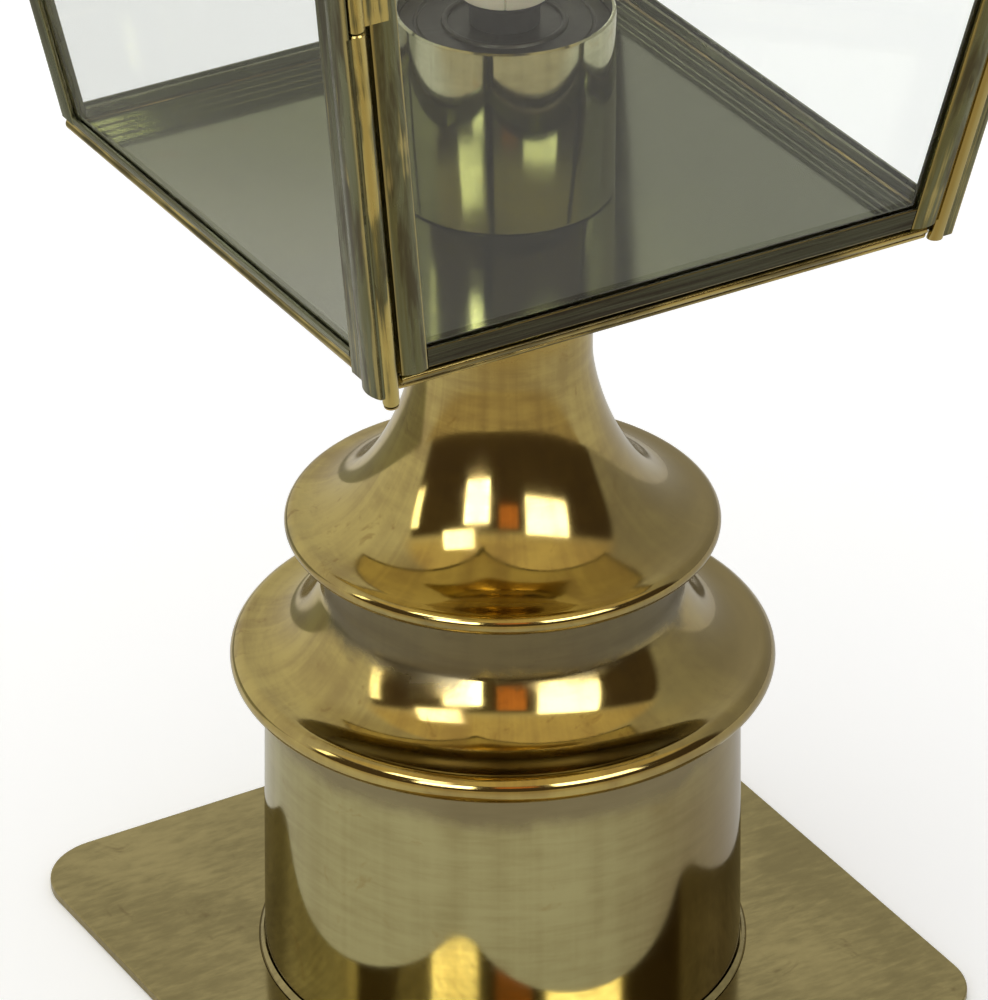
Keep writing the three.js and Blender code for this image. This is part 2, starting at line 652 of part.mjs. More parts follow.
// A stile in corner coordinates: startIn is its edge at the corner's side, groove at the far edge.
function stileSection(startIn) {
  const d = FRAME_DEPTH;
  const t = FRAME_WALL;
  const end = startIn + STILE_W;
  const bottom = end - GROOVE_DEPTH;
  return [
    [startIn, 0], [end, 0], [end, t], [bottom, t], [bottom, d - t], [end, d - t], [end, d], [startIn, d],
  ];
}

function mirrorSection(section) {
  return section.map(([along, depth]) => [depth, along]).reverse();
}

const faceTilt = Math.atan(CAGE_LEAN);
const latchHalf = CAGE_HALF + CAGE_LEAN * (LATCH_Z - PAN_Z);

function latchPlace() {
  const place = new THREE.Group();
  place.position.set(latchHalf - LATCH_IN, -latchHalf, LATCH_Z);
  place.rotation.x = faceTilt;
  place.updateMatrix();
  return place;
}

function buildDoor() {
  const leftEnd = DOOR_LEFT_IN + STILE_W;
  const rightEnd = DOOR_RIGHT_IN + STILE_W;
  add('hinge_leaf', hingeLeaf(), frameBrass);
  add('hinge_pin', hingePin(), rawBrass);
  add('door_knuckle', doorKnuckle(), frameBrass);
  add('door_stile_hinge', cornerPiece(stileSection(DOOR_LEFT_IN), DOOR_LOW_Z, DOOR_HIGH_Z), frameBrass);

  const latchSection = mirrorSection(stileSection(DOOR_RIGHT_IN));
  const latchStile = toFace(cornerPiece(latchSection, DOOR_LOW_Z, DOOR_HIGH_Z), 1);
  const place = latchPlace();
  const spindleHole = new THREE.CylinderGeometry(SPINDLE_R + GAP, SPINDLE_R + GAP, 20, 12);
  spindleHole.applyMatrix4(place.matrix);
  add('door_stile_latch', cut(latchStile, spindleHole), frameBrass);

  const railIn = [leftEnd + GAP, rightEnd + GAP];
  add('door_rail_bottom', railOpenUp(...railIn, DOOR_LOW_Z, DOOR_LOW_Z + DOOR_RAIL_H), frameBrass);
  add('door_rail_top', railOpenDown(...railIn, DOOR_HIGH_Z - DOOR_RAIL_H, DOOR_HIGH_Z), frameBrass);
  const paneLowZ = DOOR_LOW_Z + DOOR_RAIL_H - RAIL_GROOVE + GAP;
  const paneHighZ = DOOR_HIGH_Z - DOOR_RAIL_H + RAIL_GROOVE - GAP;
  const paneIn = GROOVE_DEPTH - GAP;
  add('door_pane', facePane(leftEnd - paneIn, rightEnd - paneIn, paneLowZ, paneHighZ), glass);
}

// The latch turns about the face's normal. In its own group the outside of the door is -Y.
function buildLatch() {
  const place = latchPlace();
  root.add(place);
  const frontY = -GAP;
  const backY = FRAME_DEPTH * Math.cos(faceTilt) + 0.5;
  const knobProfile = [
    [0, frontY - 10.6], [2.4, frontY - 10.2], [3.9, frontY - 8.6], [4.3, frontY - 6.9],
    [3.6, frontY - 5.2], [1.9, frontY - 4], [1.9, frontY - 2.2], [2.6, frontY - 1.4], [2.6, frontY],
    [SPINDLE_R + GAP, frontY], [SPINDLE_R + GAP, frontY - 3.2], [0, frontY - 3.2],
  ].map(([r, y]) => new THREE.Vector2(r, y));
  add('latch_knob', new THREE.LatheGeometry(knobProfile, 20), polishedBrass, place);

  const spindleLow = frontY - 2.9;
  const spindleHigh = backY + TONGUE_T + 1;
  const spindle = new THREE.CylinderGeometry(SPINDLE_R, SPINDLE_R, spindleHigh - spindleLow, 12);
  spindle.translate(0, (spindleLow + spindleHigh) / 2, 0);
  add('latch_spindle', spindle, rawBrass, place);

  const tongueOutline = [
    [-TONGUE_WIDTH / 2, -3.2], [TONGUE_WIDTH / 2, -3.2], [TONGUE_WIDTH / 2, TONGUE_REACH - 0.6],
    [TONGUE_WIDTH / 2 - 0.6, TONGUE_REACH], [0.6 - TONGUE_WIDTH / 2, TONGUE_REACH],
    [-TONGUE_WIDTH / 2, TONGUE_REACH - 0.6],
  ];
  const tongue = slab(tongueOutline, backY, backY + TONGUE_T);
  const hub = new THREE.CylinderGeometry(3, 3, TONGUE_T, 14).translate(0, backY + TONGUE_T / 2, 0);
  const hole = new THREE.CylinderGeometry(SPINDLE_R + 0.2, SPINDLE_R + 0.2, 4, 12).translate(0, backY, 0);
  add('latch_tongue', cut(join(tongue, hub), hole), rawBrass, place);
}

// ---- Lamp ----
function candleCup() {
  return ring(CUP_R - SHEET, CUP_R, PAN_FLOOR_Z + GAP, CUP_TOP_Z, 40);
}

function cupDisc() {
  const low = CUP_DISC_Z;
  const high = CUP_DISC_Z + SHEET;
  const outer = CUP_R - SHEET - GAP;
  return turned([
    [ROD_R + GAP, low], [outer, low], [outer, high], [17, high], [16.5, high + 0.9], [15.6, high + 0.9],
    [15.1, high], [ROD_R + GAP, high],
  ], 28);
}

// Lampholder: a threaded skirt on the rod, a body inside the candle sleeve and an open mouth.
function lampholder() {
  const baseZ = CUP_DISC_Z + SHEET + GAP;
  const bodyR = SLEEVE_R - 1.6;
  const mouthZ = SLEEVE_LOW_Z + SLEEVE_H - 4;
  return turned([
    [ROD_R + GAP, baseZ], [9.5, baseZ], [9.5, SLEEVE_LOW_Z - GAP - 1], [11.6, SLEEVE_LOW_Z - GAP - 1],
    [11.6, SLEEVE_LOW_Z - GAP], [bodyR, SLEEVE_LOW_Z - GAP], [bodyR, mouthZ], [7.4, mouthZ],
    [7.4, mouthZ - 26], [ROD_R + GAP, mouthZ - 26],
  ], 24);
}

function candleSleeve() {
  const inner = SLEEVE_R - 1.2;
  return ring(inner, SLEEVE_R, SLEEVE_LOW_Z, SLEEVE_LOW_Z + SLEEVE_H, 32);
}

const BULB_SEAT_Z = SLEEVE_LOW_Z + SLEEVE_H + 1;

function bulbCap() {
  const low = BULB_SEAT_Z - 28;
  return turned([
    [0, low], [2.4, low], [3.4, low + 1.6], [6.7, low + 3.4], [6.7, BULB_SEAT_Z - 4], [5, BULB_SEAT_Z - 4],
    [0, BULB_SEAT_Z - 4],
  ], 20);
}

function bulbGlass() {
  const lowZ = BULB_SEAT_Z - 4 + GAP;
  const throat = bezier([6.7, lowZ + 3], [8.5, lowZ + 12], [BULB_R, lowZ + 16], [BULB_R, lowZ + 33], 5);
  const point = bezier([BULB_R, lowZ + 33], [BULB_R, lowZ + 52], [6, lowZ + 58], [2.2, lowZ + BULB_H - 2], 6);
  return turned([[0, lowZ], [6.7, lowZ], ...throat, ...point.slice(1), [0, lowZ + BULB_H]], 20);
}

function buildLamp() {
  add('candle_cup', candleCup(), greyBrass);
  add('cup_disc', cupDisc(), frameBrass);
  add('lampholder', lampholder(), blackPlastic);
  add('candle_sleeve', candleSleeve(), ivory);
  add('bulb_cap', bulbCap(), darkSteel);
  add('bulb_glass', bulbGlass(), glass);
}

// ---- Cornice, roof and vented cap ----
function cornice() {
  const skin = [
    [124.5, CAGE_TOP_Z + GAP], [131, CAGE_TOP_Z + GAP], [133, 488], [136.5, 493], [140.8, 496],
    [CORNICE_HALF, 498], [CORNICE_HALF, 500.5], [136, 501.4],
  ];
  return squareTurned(sheetProfile(skin, SHEET));
}

function roof() {
  const slopeTop = [ROOF_TOP_HALF, ROOF_TOP_Z - 2];
  const slope = bezier([ROOF_HALF, ROOF_LOW_Z + 2], [104, 517], [62, 545], slopeTop, 6);
  const flatTop = [[ROOF_TOP_HALF, ROOF_TOP_Z], [ROOF_HOLE_HALF, ROOF_TOP_Z]];
  const skin = [[ROOF_HALF, ROOF_LOW_Z], ...slope, ...flatTop];
  return squareTurned(sheetProfile(skin, SHEET));
}

function chimney() {
  const lowZ = ROOF_TOP_Z + GAP;
  const underTop = CHIMNEY_TOP_Z - SHEET;
  const footR = CHIMNEY_R + 4;
  const innerR = CHIMNEY_R - SHEET;
  const profile = [
    [innerR, lowZ], [footR, lowZ], [footR, lowZ + SHEET], [CHIMNEY_R, lowZ + SHEET + 0.6],
    [CHIMNEY_R, CHIMNEY_TOP_Z], [FINIAL_HOLE_R, CHIMNEY_TOP_Z], [FINIAL_HOLE_R, underTop], [innerR, underTop],
  ];
  const holes = Array.from({ length: VENT_HOLES }, (_, i) => {
    const drill = rod(VENT_HOLE_R, CHIMNEY_R - 6, CHIMNEY_R + 6, 8).rotateX(Math.PI / 2);
    return drill.rotateZ((i * 2 * Math.PI) / VENT_HOLES).translate(0, 0, VENT_HOLE_Z);
  });
  return cut(turned(profile, 32), ...holes);
}

function ventCap() {
  const roll = arc(CAP_RIM_R - 1.6, CAP_RIM_Z, 1.6, -60, 80, 3);
  const flareStart = roll[roll.length - 1];
  const flare = bezier(flareStart, [36, 605], [17, 609], [13, CAP_TOP_Z - 1.6], 5);
  const seat = [[12, CAP_TOP_Z], [FINIAL_HOLE_R, CAP_TOP_Z]];
  const skin = [[CAP_RIM_R - 3, CAP_RIM_Z - 1.2], ...roll, ...flare.slice(1), ...seat];
  return turned(sheetProfile(skin, 1), 28);
}

function finial() {
  const shankLowZ = CHIMNEY_TOP_Z - 12;
  const ballZ = FINIAL_LOW_Z + 25;
  const ball = arc(0, ballZ, FINIAL_R, -62, 66, 7);
  return turned([
    [0, shankLowZ], [FINIAL_SHANK_R, shankLowZ], [FINIAL_SHANK_R, FINIAL_LOW_Z], [10.5, FINIAL_LOW_Z],
    [10.5, FINIAL_LOW_Z + 2], [7, FINIAL_LOW_Z + 4.6], [4.6, FINIAL_LOW_Z + 8.5], [5, FINIAL_LOW_Z + 12.6],
    ...ball, [3.2, ballZ + 15], [2.2, ballZ + 19], [0, ballZ + 21],
  ], 18);
}

function finialNut() {
  const lowZ = CHIMNEY_TOP_Z - SHEET - GAP - 4;
  return cut(rod(6, lowZ, lowZ + 4, 6), rod(FINIAL_SHANK_R + 0.4, lowZ - 1, lowZ + 5, 12));
}

function buildTop() {
  add('cornice', cornice(), polishedBrass);
  add('roof', roof(), polishedBrass);
  add('chimney', chimney(), polishedBrass);
  add('vent_cap', ventCap(), polishedBrass);
  add('finial', finial(), polishedBrass);
  add('finial_nut', finialNut(), darkSteel);
}

buildPedestal();
buildWiring();
buildFixedCage();
buildDoor();
buildLatch();
buildLamp();
buildTop();

export default root;
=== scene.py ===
"""Pedestal lantern of polished and aged brass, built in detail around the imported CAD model.

Lengths below are millimetres in the CAD's frame, and MM turns them into metres where a mesh is made.
The cage widens by LEAN per side and unit of height. Its face number counts quarter turns from the
front: 0 front (-Y), 1 right (+X), 2 back, 3 left.
"""
import json
import math

import bpy
from mathutils import Matrix, Vector


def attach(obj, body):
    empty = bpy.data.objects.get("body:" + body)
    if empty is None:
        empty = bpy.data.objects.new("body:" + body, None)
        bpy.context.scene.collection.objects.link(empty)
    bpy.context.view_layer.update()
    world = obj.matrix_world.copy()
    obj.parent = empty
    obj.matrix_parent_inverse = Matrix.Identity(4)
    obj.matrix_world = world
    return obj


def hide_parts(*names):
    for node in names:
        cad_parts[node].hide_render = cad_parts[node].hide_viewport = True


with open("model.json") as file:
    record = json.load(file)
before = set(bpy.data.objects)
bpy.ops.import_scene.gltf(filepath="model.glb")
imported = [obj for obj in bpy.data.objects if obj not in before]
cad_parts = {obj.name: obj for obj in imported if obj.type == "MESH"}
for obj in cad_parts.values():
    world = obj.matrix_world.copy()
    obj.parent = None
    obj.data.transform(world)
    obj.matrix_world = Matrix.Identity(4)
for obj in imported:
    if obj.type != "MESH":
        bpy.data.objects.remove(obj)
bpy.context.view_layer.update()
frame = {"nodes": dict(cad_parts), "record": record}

MM = 0.001
RECORD = frame["record"]

# ---- Dimensions shared with the CAD model ----
GAP = 0.3
SHEET = 1.2
PLATE_HALF = 101.6
PLATE_T = 3
PLATE_CORNER_R = 20
PLATE_HOLE_R = 40
DRUM_FOOT_R = 68.3
DRUM_TOP_R = 66.7
DRUM_TOP_Z = 93.3
LOWER_RIM_R = 76.4
LOWER_ROLL_R = 4.2
LOWER_WALL_R = 50
LOWER_TOP_Z = 137.4
UPPER_RIM_R = 60.5
UPPER_ROLL_R = 3
NECK_R = 24.6
NECK_TOP_R = 26.5
NECK_TOP_Z = 242.2
ROD_HOLE_R = 5.4
PAN_Z = 245
CAGE_HALF = 87
LEAN = 0.17
CAGE_TOP_Z = 485
PAN_HALF = 82
PAN_FLOOR_Z = 244.4
PAN_SHELF_Z = 246.6
PAN_WELL_HALF = 78
PAN_LIP_Z = 248.6
DEPTH = 4.5
WALL = 0.8
GROOVE = 2.2
POST_LEG = 7.5
BEAD_R = 2.1
RAIL_LOW_Z = 249.3
RAIL_LOW_H = 2.6
RAIL_TOP_H = 7
RAIL_GROOVE = 1.6
HINGE_IN = 2.3
KNUCKLE_R = 2.2
KNUCKLE_BORE_R = 1.25
KNUCKLE_LOW_Z = 242.6
KNUCKLE_SPLIT_Z = 360
KNUCKLE_HIGH_Z = 477
LEAF_T = 0.8
LEAF_WIDTH = 8.6
HINGE_POST_W = 16
DOOR_LOW_Z = 250.4
DOOR_HIGH_Z = 477
DOOR_LEFT_IN = 6.1
DOOR_RIGHT_IN = 7.6
STILE_W = 7.6
DOOR_RAIL_H = 6.2
STOP_BEAD_R = 2.2
STOP_BEAD_IN = 4.9
STOP_BEAD_DEPTH = 1.6
RIM_BEAD_Z = PAN_Z - 0.2 + BEAD_R
LATCH_Z = 363
LATCH_IN = 10.1
SPINDLE_R = 1.6
TONGUE_REACH = 4.9
TONGUE_WIDTH = 3.6
CUP_R = 29.6
CUP_TOP_Z = 297.6
CUP_DISC_Z = 292
SLEEVE_R = 12.4
SLEEVE_LOW_Z = 302
SLEEVE_HIGH_Z = 387
BULB_SEAT_Z = 388
BULB_R = 17.5
BULB_H = 76
CORNICE_HALF = 142
ROOF_HALF = 138
ROOF_HOLE_HALF = 21
ROOF_LOW_Z = 501.9
ROOF_TOP_Z = 566.5
ROOF_TOP_HALF = 36
CHIMNEY_R = 30
CHIMNEY_TOP_Z = 604
VENT_HOLES = 8
VENT_HOLE_R = 4.5
VENT_HOLE_Z = 586
CAP_RIM_R = 50
CAP_RIM_Z = 599
CAP_TOP_Z = 620.6
FINIAL_LOW_Z = 621
FINIAL_R = 12.5
STRAP_TOP_Z = 26
STRAP_SCREW_X = 52
STRAP_HOLE_R = 2.4
EARTH_AT = (-8, 9)
EARTH_HOLE_R = 2.2
TERMINAL_X = (-10, 0, 10)
NUT_FLATS = 14
ROD_R = 5

# ---- Camera ----
CAMERA_AT = (-0.7731, -1.2988, 1.0265)
CAMERA_AZIMUTH = math.radians(-30.76)
CAMERA_PITCH = math.radians(30.23)
CAMERA_LENS = 227.9
CAMERA_SHIFT_X = -0.0084


# ---- Mesh helpers ----
def linked(name, data):
    """A new object in the scene."""
    obj = bpy.data.objects.new(name, data)
    bpy.context.scene.collection.objects.link(obj)
    return obj


def new_mesh(name, verts, faces):
    """A mesh from millimetre vertices."""
    mesh = bpy.data.meshes.new(name)
    mesh.from_pydata([Vector(v) * MM for v in verts], [], faces)
    return mesh


def shade_smooth(mesh, sharp=32):
    """Shades a mesh smooth and keeps edges over `sharp` degrees."""
    mesh.polygons.foreach_set("use_smooth", [True] * len(mesh.polygons))
    mesh.set_sharp_from_angle(angle=math.radians(sharp))


def piece(name, verts, faces, material, node=None, body="lantern", slot=None, sharp=32, wear=None, uvs=None):
    """A visible object that stands for a CAD node and hides it; its slot is looked up but not kept."""
    mesh = new_mesh(name, verts, faces)
    mesh.validate()
    shade_smooth(mesh, sharp)
    if wear is not None:
        layer = mesh.attributes.new("wear", "FLOAT", "POINT")
        layer.data.foreach_set("value", wear)
    if uvs is not None:
        layer = mesh.uv_layers.new(name="strip")
        for loop in mesh.loops:
            layer.data[loop.index].uv = uvs[loop.vertex_index]
    mesh.materials.append(material)
    obj = linked(name, mesh)
    if node:
        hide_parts(node)
    slot or SLOT_OF[material]
    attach(obj, body)
    return obj


def bevel(obj, width, segments=2, angle=30):
    """Rounds the sharp edges of an object by that many millimetres."""
    modifier = obj.modifiers.new("edge", "BEVEL")
    modifier.width = width * MM
    modifier.segments = segments
    modifier.limit_method = "ANGLE"
    modifier.angle_limit = math.radians(angle)
    return obj


def bezier(a, b, c, d, steps):
    """Points of a cubic curve in a plane."""
    points = []
    for i in range(steps + 1):
        t = i / steps
        w = ((1 - t) ** 3, 3 * t * (1 - t) ** 2, 3 * t * t * (1 - t), t ** 3)
        points.append(tuple(sum(k * p[j] for k, p in zip(w, (a, b, c, d))) for j in (0, 1)))
    return points


def arc(centre_r, centre_z, radius, low, high, steps):
    """Points of a circle between two angles in degrees."""
    angles = [math.radians(low + (high - low) * i / steps) for i in range(steps + 1)]
    return [(centre_r + radius * math.cos(a), centre_z + radius * math.sin(a)) for a in angles]


def sheet_profile(skin, thickness):
    """Closes an open skin into a sheet of even thickness, laid on the left of its direction."""
    points = [Vector(p) for p in skin]
    inner = []
    for i, point in enumerate(points):
        before = (point - points[i - 1]).normalized() if i else (points[1] - point).normalized()
        after = (points[i + 1] - point).normalized() if i < len(points) - 1 else before
        along = (before + after).normalized()
        miter = thickness / max(along.dot(after), 0.5)
        inner.append((point.x - along.y * miter, point.y + along.x * miter))
    return list(skin) + inner[::-1]


def lathe(profile, segments, seam=None):
    """A closed profile of (radius, height) turned about Z. Returns vertices, faces and strip coordinates.

    A seam is (angle in degrees, depth): a fine groove down the outer wall.
    """
    verts, faces, uvs, rings = [], [], [], []
    widest = max(r for r, _ in profile)
    for r, z in profile:
        if r < 1e-6:
            rings.append([len(verts)] * segments)
            verts.append((0, 0, z))
            uvs.append((0, z * MM))
            continue
        rings.append(list(range(len(verts), len(verts) + segments)))
        for k in range(segments):
            a = 2 * math.pi * k / segments
            near = r
            if seam and r > widest - 0.3 and abs(k - round(segments * seam[0] / 360)) < 1:
                near = r - seam[1]
            verts.append((near * math.cos(a), near * math.sin(a), z))
            uvs.append((r * min(a, 2 * math.pi - a) * MM, (z + r) * MM))
    for i, low in enumerate(rings):
        high = rings[(i + 1) % len(rings)]
        for k in range(segments):
            n = (k + 1) % segments
            corners = [low[k], low[n], high[n], high[k]]
            face = [v for j, v in enumerate(corners) if v != corners[j - 1]]
            if len(face) > 2:
                faces.append(face)
    return verts, faces, uvs


def placed(verts, place):
    return [tuple(place @ Vector(v)) for v in verts]


def rod_tool(radius, low, high, place=Matrix(), sides=32):
    """Vertices and faces of a plain round bar, for drilling."""
    verts, faces, _ = lathe([(0, low), (radius, low), (radius, high), (0, high)], sides)
    return placed(verts, place), faces


def drill(obj, *tools):
    """Cuts closed shapes, each given as vertices and faces, out of an object."""
    cutters = [linked("cutter", new_mesh("cutter", *tool)) for tool in tools]
    for cutter in cutters:
        modifier = obj.modifiers.new("hole", "BOOLEAN")
        modifier.operation = "DIFFERENCE"
        modifier.solver = "EXACT"
        modifier.object = cutter
    whole = obj.evaluated_get(bpy.context.evaluated_depsgraph_get())
    obj.data = bpy.data.meshes.new_from_object(whole)
    obj.modifiers.clear()
    shade_smooth(obj.data)
    for cutter in cutters:
        used = cutter.data
        bpy.data.objects.remove(cutter)
        bpy.data.meshes.remove(used)


def worked(obj, holes, edge):
    """Drills an object's holes, then rounds its edges."""
    if holes:
        drill(obj, *holes)
    return bevel(obj, edge) if edge else obj


def turned(name, profile, material, segments=160, edge=0.25, place=Matrix(), holes=(), seam=None, **options):
    """A profile turned on a lathe, then placed."""
    verts, faces, uvs = lathe(profile, segments, seam)
    return worked(piece(name, placed(verts, place), faces, material, uvs=uvs, **options), holes, edge)


def prism(name, outline, low, high, material, place=Matrix(), edge=0.25, holes=(), **options):
    """A straight bar of an XY outline between two heights, then placed."""
    if signed_area(outline) < 0:
        outline = outline[::-1]
    verts, faces = sweep([[(x, y, z) for x, y in outline] for z in (low, high)])
    uvs = [(u * MM, z * MM) for z in (low, high) for u in perimeter(outline)]
    return worked(piece(name, placed(verts, place), faces, material, uvs=uvs, **options), holes, edge)


def tube(name, path, radius, sides, material, **options):
    """A round strand along a smooth path through the given points."""
    points = [Vector(p) for p in path]
    rings, uvs = [], []
    side, run = Vector((0, 0, 0)), 0.0
    for i, here in enumerate(points):
        along = (points[min(i + 1, len(points) - 1)] - points[max(i - 1, 0)]).normalized()
        if not i:
            side = along.orthogonal().normalized()
        else:
            side = (side - along * side.dot(along)).normalized()
            run += (here - points[i - 1]).length
        up = along.cross(side)
        ring = []
        for k in range(sides):
            a = 2 * math.pi * k / sides
            ring.append(tuple(here + (side * math.cos(a) + up * math.sin(a)) * radius))
            uvs.append((radius * min(a, 2 * math.pi - a) * MM, run * MM))
        rings.append(ring)
    verts, faces = sweep(rings)
    return piece(name, verts, faces, material, uvs=uvs, **options)


def smooth_path(points, steps):
    """Catmull-Rom curve through the points."""
    spots = [Vector(p) for p in points]
    ends = [spots[0] * 2 - spots[1]] + spots + [spots[-1] * 2 - spots[-2]]
    path = []
    for i in range(1, len(ends) - 2):
        a, b, c, d = ends[i - 1:i + 3]
        for k in range(steps):
            t = k / steps
            path.append((b * 2 + (c - a) * t + (a * 2 - b * 5 + c * 4 - d) * t ** 2
                         + (b * 3 - a - c * 3 + d) * t ** 3) / 2)
    return path + [spots[-1]]


def round_corners(points, radii, steps=4):
    """Rounds a polygon's corners. Returns (points, wear): wear is 1 at the middle of each rounding."""
    outline, wear = [], []
    for i, point in enumerate(points):
        radius = radii.get(i, 0) if isinstance(radii, dict) else radii
        here, before, after = Vector(point), Vector(points[i - 1]), Vector(points[(i + 1) % len(points)])
        if not radius:
            outline.append(tuple(here))
            wear.append(0.0)
            continue
        to_before, to_after = (before - here), (after - here)
        half = to_before.angle(to_after) / 2
        reach = radius / math.tan(half)
        start = here + to_before.normalized() * reach
        end = here + to_after.normalized() * reach
        for k in range(steps + 1):
            t = k / steps
            a, b = start.lerp(here, t), here.lerp(end, t)
            outline.append(tuple(a.lerp(b, t)))
            wear.append(math.sin(math.pi * t) ** 0.6)
    return outline, wear


def circle(x, y, radius, sides):
    return arc(x, y, radius, 0, 360 * (sides - 1) / sides, sides - 1)


def signed_area(points):
    """Positive for an outline that runs anticlockwise."""
    return sum(a[0] * b[1] - b[0] * a[1] for a, b in zip(points, points[1:] + points[:1])) / 2


def sweep(rings, ends=True):
    """Joins rings of equal length into a bar with ends, or into a loop. Returns vertices and faces."""
    size, count = len(rings[0]), len(rings)
    faces = []
    for i in range(count - 1 if ends else count):
        a, b = i * size, (i + 1) % count * size
        for k in range(size):
            n = (k + 1) % size
            faces.append([a + k, a + n, b + n, b + k])
    if ends:
        last = (count - 1) * size
        faces.append(list(range(size))[::-1])
        faces.append([last + k for k in range(size)])
    return [v for ring in rings for v in ring], faces


def quarter(verts, face):
    """Turns vertices from the front onto another face."""
    turn = Matrix.Rotation(face * math.pi / 2, 3, "Z")
    return [tuple(turn @ Vector(v)) for v in verts]


def half_side(z):
    return CAGE_HALF + LEAN * (z - PAN_Z)


def perimeter(points):
    """Length run along a closed outline at each of its points."""
    lengths, total = [], 0.0
    for i, p in enumerate(points):
        lengths.append(total)
        total += (Vector(points[(i + 1) % len(points)]) - Vector(p)).length
    return lengths


def strip(name, section, stations, spot, face, material, **options):
    """Sweeps a section, given as (points, wear), past stations along a face of the cage.

    spot(station, a, b) says where a section point lies on the front face, and its run along the strip.
    """
    points, wear = section
    rings, uvs = [], []
    for station in stations:
        spots = [spot(station, a, b) for a, b in points]
        rings.append([place for place, run in spots])
        uvs += [(u * MM, run * MM) for u, (place, run) in zip(perimeter(points), spots)]
    verts, faces = sweep(rings)
    return piece(name, quarter(verts, face), faces, material, wear=wear * len(rings), uvs=uvs, **options)


def shares(steps):
    return [i / steps for i in range(steps + 1)]


def wound(section, sign):
    """The section with its outline anticlockwise for sign 1, clockwise for sign -1."""
    points, wear = section
    return section if signed_area(points) * sign > 0 else (points[::-1], wear[::-1])


def corner_strip(name, section, low_z, high_z, face, material, low_cut=0.0, **options):
    """A strip along a corner edge: section points are (along the face, depth) from the edge."""

    def spot(share, x, y):
        z = low_z + (high_z - low_z) * share + (low_cut * x if share == 0 else 0)
        return (x - half_side(z), y - half_side(z), z), z

    return strip(name, wound(section, 1), shares(8), spot, face, material, **options)


def face_rail(name, section, left_in, right_in, face, material, **options):
    """A bar along a face: section points are (depth, z), the ends keep clear of the corner edges."""

    def spot(share, depth, z):
        reach = half_side(z)
        x = left_in - reach + (2 * reach - right_in - left_in) * share
        return (x, depth - reach, z), x

    return strip(name, wound(section, -1), shares(6), spot, face, material, **options)


# ---- Shader helpers ----
class Shader:
    """A material and short calls that add nodes to it."""

    def __init__(self, name):
        self.material = bpy.data.materials.new(name)
        self.material.use_nodes = True
        self.tree = self.material.node_tree
        self.tree.nodes.clear()

    def add(self, kind, settings=None, **inputs):
        node = self.tree.nodes.new("ShaderNode" + kind)
        for key, value in (settings or {}).items():
            setattr(node, key, value)
        for key, value in inputs.items():
            self.feed(node.inputs[key.replace("_", " ")], value)
        return node

    def feed(self, socket, value):
        if isinstance(value, bpy.types.NodeSocket):
            self.tree.links.new(value, socket)
        elif isinstance(value, (tuple, list)) and len(value) == 3 and socket.type == "RGBA":
            socket.default_value = (*value, 1)
        else:
            socket.default_value = value

    def math(self, operation, a, b=None):
        node = self.add("Math", {"operation": operation})
        self.feed(node.inputs[0], a)
        if b is not None:
            self.feed(node.inputs[1], b)
        return node.outputs[0]

    def plus(self, a, b):
        return self.math("ADD", a, b)

    def times(self, a, b):
        return self.math("MULTIPLY", a, b)

    def centred(self, value, amount):
        """A value about a half becomes one about zero, scaled."""
        return self.times(self.math("SUBTRACT", value, 0.5), amount)

    def share(self, a, b, b_share):
        return self.plus(self.times(a, 1 - b_share), self.times(b, b_share))

    def blend(self, factor, a, b):
        """Mixes two numbers."""
        return self.plus(a, self.times(factor, self.math("SUBTRACT", b, a)))

    def ramp(self, value, low, high, to_low=0.0, to_high=1.0):
        """A soft step from to_low at low to to_high at high."""
        node = self.add("MapRange", {"interpolation_type": "SMOOTHSTEP"})
        for socket, v in zip(node.inputs, (value, low, high, to_low, to_high)):
            self.feed(socket, v)
        return node.outputs[0]

    def mix(self, factor, a, b):
        """Mixes two colours."""
        node = self.add("Mix", {"data_type": "RGBA"})
        for index, v in ((0, factor), (6, a), (7, b)):
            self.feed(node.inputs[index], v)
        return node.outputs[2]

    def axis(self, vector, index):
        return self.add("SeparateXYZ", Vector=vector).outputs[index]

    def noise(self, vector, scale, detail=3.0, roughness=0.55, distortion=0.0):
        return self.add("TexNoise", Vector=vector, Scale=scale, Detail=detail, Roughness=roughness,
                        Distortion=distortion).outputs[0]

    def stretched(self, vector, scale):
        return self.add("Mapping", Vector=vector, Scale=scale).outputs[0]

    def object_place(self):
        return self.add("TexCoord").outputs["Object"]

    def turned_place(self):
        """Object place with the radius added to the height: noise drawn out along X and Y makes rings."""
        x, y, z = self.add("SeparateXYZ", Vector=self.object_place()).outputs
        radius = self.math("SQRT", self.plus(self.times(x, x), self.times(y, y)))
        return self.add("CombineXYZ", X=x, Y=y, Z=self.plus(z, self.times(radius, 0.8))).outputs[0]

    def strip_place(self):
        return self.add("UVMap", {"uv_map": "strip"}).outputs[0]

    def attribute(self, name):
        return self.add("Attribute", {"attribute_name": name}).outputs["Fac"]

    def bump(self, height, distance, normal=None):
        node = self.add("Bump", Height=height, Distance=distance)
        if normal is not None:
            self.feed(node.inputs["Normal"], normal)
        return node.outputs[0]

    def finish(self, shader):
        self.add("OutputMaterial", Surface=shader)
        return self.material


def metal(s, colour, roughness, normal):
    """Ends a metal's nodes."""
    shader = s.add("BsdfPrincipled", Base_Color=colour, Metallic=1.0, Roughness=roughness, Normal=normal)
    return s.finish(shader.outputs[0])


def darker(colour, amount):
    return tuple(c * amount for c in colour)


# How much of the patina or painted shade shows in a band. Each band says what is left of it on its right.
BAND_STRENGTH = 0.85


